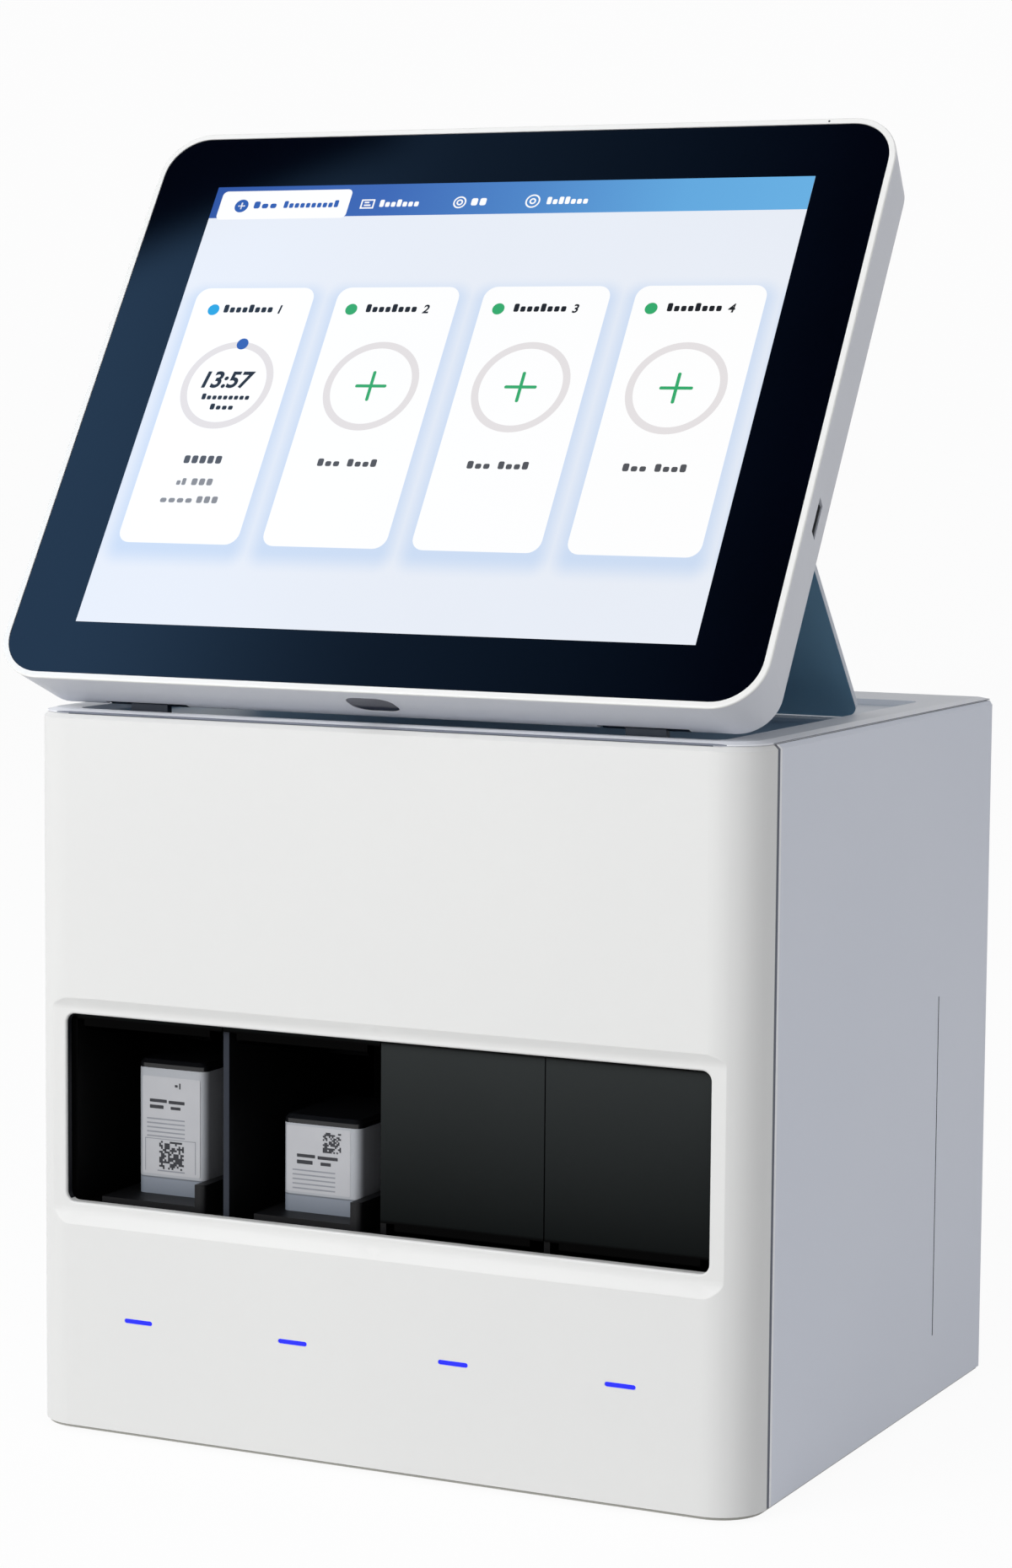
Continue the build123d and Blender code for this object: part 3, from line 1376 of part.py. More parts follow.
# Stand: one flat plate that turns on two pins behind the display
stand_lean = radians(stand_angle)
stand_pivot = display_side_plane(0, stand_pivot_up, display_t + stand_pivot_out).origin
stand_plane = Plane(origin=stand_pivot, x_dir=(1, 0, 0), z_dir=(0, sin(stand_lean), cos(stand_lean)))
stand_pin_plane = Plane(origin=stand_pivot, x_dir=(0, 1, 0), z_dir=(1, 0, 0))
stand_notch_w = stand_lug_w + 2 * run_gap
with BuildPart() as stand_plate:
    with BuildSketch(stand_plane.offset(-stand_plate_low)):
        with Locations((0, stand_len / 2)):
            Rectangle(2 * stand_half_w, stand_len)
    extrude(amount=stand_t)
    stand_corners = stand_plate.edges().filter_by(Axis(stand_pivot, stand_plane.z_dir)).sort_by(Axis.Y)[-2:]
    fillet(stand_corners, stand_corner_r)
    with BuildSketch(stand_pin_plane):
        Circle(stand_barrel_r)
    extrude(amount=stand_half_w, both=True)
    with BuildSketch(stand_plane.offset(-2 * stand_barrel_r)):
        with Locations([(side * stand_lug_x, 0) for side in (-1, 1)]):
            Rectangle(stand_notch_w, 2 * stand_notch_reach)
    extrude(amount=4 * stand_barrel_r, mode=Mode.SUBTRACT)
    for side in (-1, 1):
        bore_x = side * (stand_lug_x - stand_pin_reach - fit_gap)
        with BuildSketch(stand_pin_plane.offset(bore_x)):
            Circle(stand_pin_r + pin_gap)
        extrude(amount=side * (stand_half_w - abs(bore_x)), mode=Mode.SUBTRACT)
stand_plate.part.label = "stand_plate"
export_step(stand_plate.part, "parts/stand_plate.step")

with BuildPart() as stand_pins:
    for side in (-1, 1):
        with BuildSketch(stand_pin_plane.offset(side * stand_lug_x)):
            Circle(stand_pin_r)
        extrude(amount=stand_pin_reach, both=True)
stand_pins.part.label = "stand_pins"
export_step(stand_pins.part, "parts/stand_pins.step")
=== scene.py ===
from math import cos, pi, radians, sin

import bmesh
import bpy
from mathutils import Matrix, Vector


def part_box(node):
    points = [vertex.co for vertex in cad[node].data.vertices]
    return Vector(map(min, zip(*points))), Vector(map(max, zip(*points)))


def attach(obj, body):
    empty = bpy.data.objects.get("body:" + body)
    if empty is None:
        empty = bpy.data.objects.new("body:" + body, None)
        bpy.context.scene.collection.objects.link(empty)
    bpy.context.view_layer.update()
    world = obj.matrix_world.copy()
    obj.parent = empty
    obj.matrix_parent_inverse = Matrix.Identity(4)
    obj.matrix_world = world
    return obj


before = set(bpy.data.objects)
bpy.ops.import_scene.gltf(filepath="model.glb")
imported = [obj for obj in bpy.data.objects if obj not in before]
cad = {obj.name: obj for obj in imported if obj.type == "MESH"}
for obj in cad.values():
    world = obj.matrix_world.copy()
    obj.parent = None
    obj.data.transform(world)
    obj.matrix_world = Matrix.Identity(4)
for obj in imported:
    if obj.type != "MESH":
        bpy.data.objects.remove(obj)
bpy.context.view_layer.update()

# Base plate: the tray of sheet steel that the whole unit is built on.
# Folded and welded, then powder coated warm grey. Only its rim shows, as a thin line under the cover.
mm = 0.001


def linear(colour):
    """Turns an sRGB hex colour into the linear values that a shader works in."""
    parts = [int(colour[i:i + 2], 16) / 255 for i in (1, 3, 5)]
    return [c / 12.92 if c <= 0.04045 else ((c + 0.055) / 1.055) ** 2.4 for c in parts] + [1.0]


def add(tree, kind, settings=(), **inputs):
    """Adds a node with its settings, and sets or links its inputs, given by name or as i and a number."""
    node = tree.nodes.new(kind)
    for key, value in dict(settings).items():
        setattr(node, key, value)
    for key, value in inputs.items():
        numbered = key[0] == "i" and key[1:].isdigit()
        socket = node.inputs[int(key[1:])] if numbered else node.inputs[key.replace("_", " ")]
        if isinstance(value, bpy.types.NodeSocket):
            tree.links.new(value, socket)
        else:
            socket.default_value = value
    return node


def finish(name, colour, worn, patch, grain, relief, roughness=0.4, spread=0.08, **shader):
    """A surface whose tone wanders over patches and whose skin has a grain, both in millimetres.

    The grain of paint, plating and mould skin is drawn coarser than the real one, so that it shows.
    """
    material = bpy.data.materials.new(name)
    material.use_nodes = True
    tree = material.node_tree
    surface = tree.nodes["Principled BSDF"]
    place = add(tree, "ShaderNodeTexCoord").outputs["Object"]
    broad = add(tree, "ShaderNodeTexNoise", Vector=place, Scale=1 / (patch * mm), Detail=3.0).outputs["Fac"]
    tone = add(tree, "ShaderNodeMix", {"data_type": "RGBA"}, i0=broad, i6=linear(colour), i7=linear(worn))
    tree.links.new(tone.outputs[2], surface.inputs["Base Color"])
    shine = add(
        tree, "ShaderNodeMapRange", Value=broad,
        To_Min=roughness - spread / 2, To_Max=roughness + spread / 2,
    )
    tree.links.new(shine.outputs["Result"], surface.inputs["Roughness"])
    fine = add(tree, "ShaderNodeTexNoise", Vector=place, Scale=1 / (grain * mm), Detail=2.0)
    bump = add(tree, "ShaderNodeBump", Height=fine.outputs["Fac"], Distance=relief * mm)
    tree.links.new(bump.outputs["Normal"], surface.inputs["Normal"])
    for key, value in shader.items():
        surface.inputs[key.replace("_", " ")].default_value = value
    return material


def dress(material, *names):
    """Gives CAD nodes their finish."""
    for name in names:
        mesh = cad[name].data
        mesh.materials.clear()
        mesh.materials.append(material)


base_paint = finish("powder_coat_base", "#adaca4", "#a3a29b", 60, 0.9, 0.02, 0.5)
dress(base_paint, "base_plate")

# Rubber feet: four soft discs pressed into seats in the base plate.
# Moulded rubber, dark and matt, with dust in its grain.
foot_rubber = finish("moulded_rubber", "#1b1b1c", "#2a2a2b", 8, 0.6, 0.05, 0.85)
dress(foot_rubber, "rubber_feet")

# Deck, door bridge and the sheet behind the display: bent steel with a bright zinc plating.
# The plating is cool grey with a faint spangle, and shows only through gaps and slots.
plated = finish("zinc_plated_steel", "#b9bcbf", "#a4a8ac", 14, 1.2, 0.01, 0.38, 0.15, Metallic=1.0)
dress(plated, "chassis_deck", "door_bridge", "display_sheet")

# Main, lamp and display boards: glass fibre laminate under green solder mask.
# The weave of the laminate shows as a fine grain under the glossy mask.
solder_mask = finish("green_solder_mask", "#10402a", "#1a5638", 3, 1.0, 0.03, 0.35)
dress(solder_mask, "main_board", "lamp_board", "display_board")

# Power supply and heater blocks: a folded aluminium case, and four blocks milled from bar.
# Bare metal with a fine cut that catches the light.
machined = finish("milled_aluminium", "#c8cacc", "#b4b7ba", 20, 0.7, 0.01, 0.32, 0.12, Metallic=1.0)
dress(machined, "power_supply", "heater_blocks")


# Bay housing: the black moulding that holds the four bays and keeps stray light off the cartridges.
# Matt polycarbonate, almost black. The front edge of the wall between the open bays keeps a grey-blue painted
# highlight.
def ramped(tree, share, stops, curve="LINEAR"):
    """A ramp of colours, read at a share from 0 to 1."""
    ramp = add(tree, "ShaderNodeValToRGB", Fac=share)
    ramp.color_ramp.interpolation = curve
    for i, (at, colour) in enumerate(stops):
        stop = ramp.color_ramp.elements[i] if i < 2 else ramp.color_ramp.elements.new(at)
        stop.position = at
        stop.color = linear(colour)
    return ramp.outputs["Color"]


def tinted(material, share, stops, curve="LINEAR"):
    """Multiplies a finish by a ramp of colours."""
    tree = material.node_tree
    surface = tree.nodes["Principled BSDF"]
    before = surface.inputs["Base Color"].links[0].from_socket
    tint = add(
        tree, "ShaderNodeMix", {"data_type": "RGBA", "blend_type": "MULTIPLY"},
        i0=1.0, i6=before, i7=ramped(tree, share, stops, curve),
    )
    tree.links.new(tint.outputs[2], surface.inputs["Base Color"])


def graded(material, axis, low, high, stops, curve="LINEAR"):
    """Tints a finish along one object axis, between two places in metres."""
    tree = material.node_tree
    place = add(tree, "ShaderNodeTexCoord").outputs["Object"]
    along = add(tree, "ShaderNodeSeparateXYZ", Vector=place).outputs[axis]
    share = add(tree, "ShaderNodeMapRange", Value=along, From_Min=low, From_Max=high).outputs["Result"]
    tinted(material, share, stops, curve)


def sideways(material):
    """How far a face looks to the left or right: 1 for a side, 0 for a front or top."""
    tree = material.node_tree
    normal = add(tree, "ShaderNodeNewGeometry").outputs["Normal"]
    along = add(tree, "ShaderNodeSeparateXYZ", Vector=normal).outputs["X"]
    return add(tree, "ShaderNodeMath", {"operation": "ABSOLUTE"}, i0=along).outputs[0]


bay_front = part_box("bay_housing")[0].y
highlight_depth, highlight_reach = 0.4, 10
open_wall_x, wall_half = -63.5, 2.5
bay_shade = "#2a2a2a"
bay_black = finish(
    "black_polycarbonate_bays", "#30343d", "#2b2f37", 25, 0.9, 0.03, 0.55, Specular_IOR_Level=0.15,
)
# Painted highlight: only a thin strip on the front edge of the wall between bays 1 and 2 keeps the full
# grey-blue.
graded(
    bay_black, "Y", bay_front, bay_front + highlight_reach * mm,
    [(0.0, "#ffffff"), (highlight_depth / highlight_reach, bay_shade), (1.0, bay_shade)], "CONSTANT",
)
graded(
    bay_black, "X", (open_wall_x - 2 * wall_half) * mm, (open_wall_x + 2 * wall_half) * mm,
    [(0.0, bay_shade), (0.25, "#ffffff"), (0.75, bay_shade)], "CONSTANT",
)
dress(bay_black, "bay_housing")

# Trays and readers: black moulded carriers on the bay floors, and the optical heads under the bay roofs.
# The same matt black plastic as the bays.
black_mould = finish("black_polycarbonate", "#0b0b0d", "#121214", 25, 0.9, 0.03, 0.5, Specular_IOR_Level=0.25)
dress(black_mould, "optics_modules", "tray_1", "tray_2", "tray_3", "tray_4")

# Rods, lead screws, the pins of the stand and the panel screws: steel, turned and ground.
# Straight, smooth and bright, with a long soft polish.
ground_steel = finish("ground_steel", "#c4c6c9", "#a9acb0", 6, 0.5, 0.004, 0.22, 0.1, Metallic=1.0)
dress(
    ground_steel,
    "door_rods", "stand_pins", "rear_screws",
    *[f"{kind}_screw_{i}" for kind in ("door", "tray") for i in range(1, 5)],
)

# Motors of the doors and trays: drawn steel cans in a dull black paint.
# They are screwed on above and behind the bays.
motor_paint = finish("black_motor_paint", "#1f2022", "#2b2c2f", 10, 0.8, 0.03, 0.45)
dress(motor_paint, "door_motors", "tray_motors")

# Cartridges: moulded polypropylene cups that stand on the two left trays.
# Satin white walls over a frosted foot, whose milky plastic is duller and greyer.
foot_h = 6.2 * mm
for number in (1, 2):
    name = f"cartridge_{number}"
    cup_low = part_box(name)[0]
    # Painted shade: the walls are a mid grey rather than white, for the shade inside the bays.
    cup_white = finish(f"satin_polypropylene_{number}", "#b0b3b8", "#a9acb1", 18, 0.8, 0.02, 0.42)
    graded(
        cup_white, "Z", cup_low.z, cup_low.z + 2 * foot_h,
        [(0.0, "#a8b0ba"), (0.46, "#c2c9d2"), (0.5, "#7e848c"), (0.53, "#ffffff")],
    )
    dress(cup_white, name)

# Caps of the cartridges: black moulded lids with a bevelled rim.
# Polished in the mould, so their edges glint.
cap_black = finish("black_cap_moulding", "#0c0d0f", "#121316", 8, 0.7, 0.02, 0.25)
dress(cap_black, "cartridge_cap_1", "cartridge_cap_2")


# Labels of the cartridges: coated paper stuck to the front walls, printed in black and grey.
# Plain bars and a block of random cells stand for the print.
def facing(origin, across, upward):
    """The frame of a flat face, in millimetres: x across it, y up it, z out of it."""
    axes = Matrix((across, upward, across.cross(upward))).transposed().to_4x4()
    return Matrix.Translation(origin) @ axes @ Matrix.Scale(mm, 4)


def raised(face, out):
    """A face moved outwards by a distance in millimetres."""
    return face @ Matrix.Translation((0, 0, out))


def grown(tree, name, sizes, place, body):
    """Runs a geometry tree with its sizes and puts the plain mesh that it makes on a face of a body."""
    holder = bpy.data.objects.new(name, bpy.data.meshes.new(name))
    bpy.context.collection.objects.link(holder)
    steps = holder.modifiers.new(name, "NODES")
    steps.node_group = tree
    for item in tree.interface.items_tree:
        if item.in_out == "INPUT" and item.name in sizes:
            steps[item.identifier] = sizes[item.name]
    ready = holder.evaluated_get(bpy.context.evaluated_depsgraph_get())
    mesh = bpy.data.meshes.new_from_object(ready)
    holder.modifiers.remove(steps)
    holder.data = mesh
    mesh.transform(place)
    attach(holder, body)


def flat(name, shapes, place, material, body):
    """One thin print of rounded rectangles (left, low, right, high, corner), in millimetres on a face."""
    form = bmesh.new()
    turn_steps = 6
    for left, low, right, high, r in shapes:
        ring = []
        centres = ((right - r, high - r), (left + r, high - r), (left + r, low + r), (right - r, low + r))
        for quarter, (x, y) in enumerate(centres):
            for step in range(turn_steps + 1):
                turn = (quarter + step / turn_steps) * pi / 2
                ring.append(form.verts.new((x + r * cos(turn), y + r * sin(turn), 0)))
        form.faces.new(ring)
    bmesh.ops.remove_doubles(form, verts=form.verts, dist=1e-4)
    mesh = bpy.data.meshes.new(name)
    form.to_mesh(mesh)
    form.free()
    mesh.materials.append(material)
    mesh.transform(place)
    piece = bpy.data.objects.new(name, mesh)
    bpy.context.collection.objects.link(piece)
    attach(piece, body)


def new_tree(name, **inputs):
    """A geometry tree with named inputs, its start and its end."""
    tree = bpy.data.node_groups.new(name, "GeometryNodeTree")
    for key, kind in inputs.items():
        tree.interface.new_socket(key.replace("_", " "), in_out="INPUT", socket_type="NodeSocket" + kind)
    tree.interface.new_socket("Geometry", in_out="OUTPUT", socket_type="NodeSocketGeometry")
    return tree, add(tree, "NodeGroupInput").outputs


def end_tree(tree, instances, material):
    """Ends a geometry tree in real faces of one material."""
    real = add(tree, "GeometryNodeRealizeInstances", Geometry=instances)
    painted = add(tree, "GeometryNodeSetMaterial", Geometry=real.outputs[0], Material=material)
    add(tree, "NodeGroupOutput", i0=painted.outputs[0])


plates, given = new_tree(
    "rows_of_plates", Columns="Int", Rows="Int", Breadth="Float", Rise="Float",
    Width="Float", Height="Float", Corner="Float", Centre="Vector", Paint="Material",
)
points = add(
    plates, "GeometryNodeMeshGrid", Size_X=given["Breadth"], Size_Y=given["Rise"],
    Vertices_X=given["Columns"], Vertices_Y=given["Rows"],
)
moved = add(plates, "GeometryNodeTransform", Geometry=points.outputs[0], Translation=given["Centre"])
outline = add(plates, "GeometryNodeCurvePrimitiveQuadrilateral", Width=given["Width"], Height=given["Height"])
eased = add(
    plates, "GeometryNodeFilletCurve", {"mode": "POLY"},
    Curve=outline.outputs[0], Count=6, Radius=given["Corner"],
)
filled = add(plates, "GeometryNodeFillCurve", Curve=eased.outputs[0])
laid = add(plates, "GeometryNodeInstanceOnPoints", Points=moved.outputs[0], Instance=filled.outputs[0])
end_tree(plates, laid.outputs[0], given["Paint"])

cells, given = new_tree(
    "block_of_cells", Count="Int", Size="Float", Share="Float", Seed="Int", Centre="Vector", Paint="Material",
)
span = add(cells, "ShaderNodeMath", {"operation": "SUBTRACT"}, i0=given["Count"], i1=1.0)
side = add(cells, "ShaderNodeMath", {"operation": "MULTIPLY"}, i0=span.outputs[0], i1=given["Size"])
points = add(
    cells, "GeometryNodeMeshGrid", Size_X=side.outputs[0], Size_Y=side.outputs[0],
    Vertices_X=given["Count"], Vertices_Y=given["Count"],
)
moved = add(cells, "GeometryNodeTransform", Geometry=points.outputs[0], Translation=given["Centre"])
chance = add(
    cells, "FunctionNodeRandomValue", {"data_type": "BOOLEAN"},
    Probability=given["Share"], Seed=given["Seed"],
)
cell = add(
    cells, "GeometryNodeMeshGrid", Size_X=given["Size"], Size_Y=given["Size"], Vertices_X=2, Vertices_Y=2,
)
laid = add(
    cells, "GeometryNodeInstanceOnPoints",
    Points=moved.outputs[0], Selection=chance.outputs[3], Instance=cell.outputs[0],
)
end_tree(cells, laid.outputs[0], given["Paint"])

# Painted shade: the paper is a light grey rather than white, for the shade inside the bays.
label_paper = finish("coated_label_paper", "#c0c1c4", "#b7b8bc", 9, 0.5, 0.01, 0.35)
label_ink = finish("black_label_ink", "#1a1b20", "#2c2e36", 2, 0.4, 0.004, 0.5)
label_grey = finish("grey_label_ink", "#83868d", "#989ba1", 3, 0.4, 0.004, 0.5)
paper_out, ink_out, cells_out = 0.06, 0.1, 0.14
line_h, line_corner = 0.55, 0.1
cells_share, first_seed = 0.56, 40
x_way, z_way = Vector((1, 0, 0)), Vector((0, 0, 1))
label_plans = {
    1: {
        "paper": (2.2, 7.4, 26.4, 43.4, 0.6),
        "bold": [
            (5.2, 33.9, 12.4, 35.1, 0.2), (13.2, 33.7, 19.9, 34.9, 0.2), (5.2, 31.6, 11.0, 32.9, 0.2),
            (14.0, 31.6, 18.2, 32.7, 0.2), (15.8, 40.0, 17.0, 40.9, 0.2), (17.6, 39.4, 18.2, 41.6, 0.2),
        ],
        "lines": (12.0, 24.6, 16.0, 6.4),
        "frame": [
            (3.2, 20.3, 24.6, 20.6, 0.1), (3.2, 8.4, 3.5, 20.5, 0.1),
            (24.3, 8.4, 24.6, 20.5, 0.1), (8.4, 8.5, 20.0, 9.0, 0.2),
        ],
        "code": (14.4, 14.6, 10.4, 14),
    },
    2: {
        "paper": (1.8, 7.3, 27.6, 31.2, 0.6),
        "bold": [
            (6.0, 19.9, 13.4, 21.1, 0.2), (14.4, 19.7, 22.6, 20.9, 0.2),
            (6.0, 17.5, 12.4, 18.9, 0.2), (15.6, 17.5, 19.8, 18.7, 0.2),
        ],
        "lines": (12.9, 11.9, 17.4, 6.6),
        "frame": [],
        "code": (20.2, 26.0, 7.4, 12),
    },
}
for number, plan in label_plans.items():
    body = f"tray_body_{number}"
    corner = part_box(f"cartridge_{number}")[0]
    face = facing(corner, x_way, z_way)
    flat(f"label_{number}", [plan["paper"]], raised(face, paper_out), label_paper, body)
    flat(f"label_print_{number}", plan["bold"], raised(face, ink_out), label_ink, body)
    line_x, line_y, line_w, line_rise = plan["lines"]
    grown(
        plates, f"label_lines_{number}",
        {"Columns": 1, "Rows": 5, "Rise": line_rise, "Width": line_w, "Height": line_h,
         "Corner": line_corner, "Centre": (line_x, line_y, ink_out), "Paint": label_grey},
        face, body,
    )
    code_x, code_y, code_side, code_count = plan["code"]
    grown(
        cells, f"label_cells_{number}",
        {"Count": code_count, "Size": code_side / code_count, "Share": cells_share,
         "Seed": first_seed + number, "Centre": (code_x, code_y, cells_out), "Paint": label_ink},
        face, body,
    )
    if plan["frame"]:
        flat(f"label_frame_{number}", plan["frame"], raised(face, ink_out), label_grey, body)

# Doors: smoked acrylic sheets with a black lip moulded on their lower edge.
# Polished and almost black. Darker towards the lip as a painted reflection, and the part behind the cover is
# black.
lip_h, shown_h = 4.6, 68.2
edge_share = 0.01
for number in range(1, 5):
    name = f"door_{number}"
    door_low, door_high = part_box(name)
    door_h = (door_high.z - door_low.z) / mm
    door_smoke = finish(
        f"smoked_acrylic_{number}", "#333636", "#2f3232", 70, 2.0, 0.002, 0.14, 0.04, Specular_IOR_Level=0.03,
    )
    # Painted reflection: the sheet grows darker towards the lip.
    graded(
        door_smoke, "Z", door_low.z, door_high.z,
        [(0.0, "#000000"), (lip_h / door_h, "#000000"), (lip_h / door_h + edge_share, "#6e7474"),
         (shown_h / door_h - edge_share, "#ffffff"), (shown_h / door_h, "#000000")],
    )
    dress(door_smoke, name)

# Light pipes: clear acrylic slots in the front cover, lit blue by the lamp board behind them.
# Their ends are satin, so each glows evenly.
lamp_blue = finish("lit_blue_acrylic", "#0610d0", "#0a1ae0", 4, 0.8, 0.01, 0.25)
glow = lamp_blue.node_tree.nodes["Principled BSDF"]
glow.inputs["Emission Color"].default_value = linear("#0410d2")
glow.inputs["Emission Strength"].default_value = 0.7
dress(lamp_blue, "lamp_guides")

# Front cover: one ABS moulding that wraps both front corners, held by hooks in the deck and base.
# Warm white and satin, with the fine spark-eroded grain of its mould.
# The sides of its opening are painted near black as painted shade, and its rear edge is painted dark as the
# shade of the seam.
cover_white = finish("white_abs", "#e8e8e5", "#e4e4e2", 120, 1.1, 0.012, 0.42, 0.06)
cover_front, cover_seam = (corner.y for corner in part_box("front_cover"))
seam_w = 1 * mm
# Painted shade: the last millimetre before the seam is darker.
graded(
    cover_white, "Y", cover_seam - 2 * seam_w, cover_seam, [(0.0, "#ffffff"), (0.5, "#7c808a")], "CONSTANT",
)
roof_h, opening_h = 7 * mm, 68.9 * mm
opening_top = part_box("bay_housing")[1].z - roof_h
jamb_reach, jamb_white, jamb_black = 127.3 * mm, 2.7 * mm, 10 * mm
jamb_shade_lift, jamb_shade_over = 1 * mm, 0.2 * mm
tree = cover_white.node_tree
surface = tree.nodes["Principled BSDF"]
moulded = surface.inputs["Base Color"].links[0].from_socket
place = add(tree, "ShaderNodeSeparateXYZ", Vector=add(tree, "ShaderNodeTexCoord").outputs["Object"]).outputs
# Painted shade: the jambs of the opening, from a little behind the front, are near black.
zones = [
    add(tree, "ShaderNodeMath", {"operation": "COMPARE"}, i0=place[axis], i1=middle, i2=half).outputs[0]
    for axis, middle, half in (
        ("X", 0.0, jamb_reach),
        ("Y", cover_front + jamb_white + jamb_black / 2, jamb_black / 2),
        ("Z", opening_top - opening_h / 2 + jamb_shade_lift, opening_h / 2 + jamb_shade_over),
    )
]
across_up = add(tree, "ShaderNodeMath", {"operation": "MULTIPLY"}, i0=zones[0], i1=zones[1])
inside = add(tree, "ShaderNodeMath", {"operation": "MULTIPLY"}, i0=across_up.outputs[0], i1=zones[2])
jamb_shaded = add(
    tree, "ShaderNodeMix", {"data_type": "RGBA"}, i0=inside.outputs[0], i6=moulded, i7=linear("#16181d"),
)
tree.links.new(jamb_shaded.outputs[2], surface.inputs["Base Color"])
dress(cover_white, "front_cover")

# Side panels and rear panel: steel sheets folded at their edges and powder coated.
# Cool white with a fine orange peel. The side sheets carry a painted highlight on their bevels, and painted
# shade in the seam and on faces that do not look sideways.
panel_coat = finish("cool_white_powder_coat", "#e6eaf2", "#e1e5ee", 150, 0.9, 0.02, 0.5, 0.06)
dress(panel_coat, "rear_panel")
side_coat = finish("cool_white_side_coat", "#fdfdff", "#f8f9fd", 150, 0.9, 0.02, 0.5, 0.06)
# Painted shade: faces that do not look sideways, such as groove walls and edges, are dark.
tinted(side_coat, sideways(side_coat), [(0.0, "#2c3038"), (0.4, "#ffffff")], "CONSTANT")
tongue_d = 3 * mm
shade_w, front_bevel_w, rear_bevel_w = 0.5, 1.4, 1.6
side_front, side_back = (corner.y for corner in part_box("side_panel_right"))
side_front += tongue_d
side_d = (side_back - side_front) / mm
# Painted shade in the seam at the front, painted highlights on the front and rear bevels.
graded(
    side_coat, "Y", side_front, side_back,
    [(0.0, "#70747e"), (shade_w / side_d, "#ffffff"),
     ((shade_w + front_bevel_w) / side_d, "#e8ecf3"), (1 - rear_bevel_w / side_d, "#ffffff")],
    "CONSTANT",
)
dress(side_coat, "side_panel_left", "side_panel_right")

# Top cover: the moulded lid of the housing, dropped into the rim of the panels, with a pan for the stand.
# Satin ABS, a shade greyer than the cover. Its rim is painted dark all round, as painted shade of the gap.
# The pan's floor is painted blue-grey, as painted shade.
lid_grey = finish("cool_grey_abs", "#fbfcff", "#f6f8fc", 90, 1.0, 0.015, 0.45)
lid_low, lid_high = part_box("top_cover")
rim_w, pan_drop, pan_fade = 0.5 * mm, 2.0 * mm, 1 * mm
# Painted shade: a dark rim half a millimetre wide along every edge of the lid.
for axis, low, high in (("X", lid_low.x, lid_high.x), ("Y", lid_low.y, lid_high.y)):
    rim = rim_w / (high - low)
    graded(lid_grey, axis, low, high, [(0.0, "#7c818c"), (rim, "#ffffff"), (1 - rim, "#7c818c")], "CONSTANT")
pan_floor = lid_high.z - pan_drop
# Painted shade: the pan's floor is blue-grey.
graded(lid_grey, "Z", pan_floor - pan_fade, pan_floor, [(0.0, "#8fa3b4"), (1.0, "#ffffff")])
dress(lid_grey, "top_cover")

# Fan, inlet and switch at the rear: black glass-filled moulding.
# The grille over the fan is bright wire, and the sockets have plated shells.
fitting_black = finish("glass_filled_nylon", "#141416", "#1c1c1f", 12, 0.6, 0.04, 0.5)
dress(fitting_black, "fan_frame", "fan_rotor", "power_inlet", "switch_body", "power_rocker")
dress(ground_steel, "fan_guard")
dress(plated, "rear_ports", "display_port")

# Hinges of the display: steel leaves, brackets and pins, all blued.
# They show as small dark blocks in the gap under the display.
hinge_blued = finish("blued_steel", "#16202e", "#1e2938", 5, 0.5, 0.01, 0.4, Metallic=0.3)
dress(hinge_blued, "hinge_brackets", "hinge_leaves", "hinge_pins")

# Front frame of the display: gloss white ABS, a narrow rim round the glass with a microphone hole.
# Polished in the mould, so it is the brightest line on the unit.
bezel_white = finish("gloss_white_abs", "#f6f6f3", "#f1f1ee", 60, 1.2, 0.004, 0.22, 0.05)
dress(bezel_white, "display_bezel")
hinge_low, hinge_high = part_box("hinge_pins")
hinge_axis = (hinge_low + hinge_high) / 2
lean, setback = radians(32.5), 27.0
up_way = Vector((0, sin(lean), cos(lean)))
out_way = x_way.cross(up_way)
panel_face = facing(Vector((0, hinge_axis.y, hinge_axis.z)) + out_way * setback * mm, x_way, up_way)


def disc(x, y, r):
    """A round spot as a rounded square."""
    return (x - r, y - r, x + r, y + r, r)


mic_x, mic_y, mic_r, mic_out = 120.0, 226.8, 0.4, 0.03
pinhole_dark = finish("pinhole_shadow", "#2a2c30", "#333539", 2, 0.3, 0.001, 0.7)
flat("microphone_hole", [disc(mic_x, mic_y, mic_r)], raised(panel_face, mic_out), pinhole_dark, "display")

# Cover glass of the display: clear sheet printed navy black on its back, bonded into the frame.
# Its polished face shows the room as soft bands. The panel behind it has a matt black frame.
printed_glass = finish("printed_cover_glass", "#02040b", "#030612", 80, 6.0, 0.0005, 0.05, 0.02)
dress(printed_glass, "display_glass")
dress(black_mould, "lcd_panel")

# Rear shell of the display: a satin grey moulding that tapers to the back, with the window and the socket.
# The reading window in its lower edge is a dark gloss lens.
shell_grey = finish("satin_grey_abs", "#d6d9e0", "#d1d4dc", 90, 1.0, 0.012, 0.4)
dress(shell_grey, "display_rear_shell")
window_dark = finish("dark_scanner_lens", "#23232f", "#2a2a38", 20, 3.0, 0.001, 0.12, 0.03)
dress(window_dark, "scanner_window")


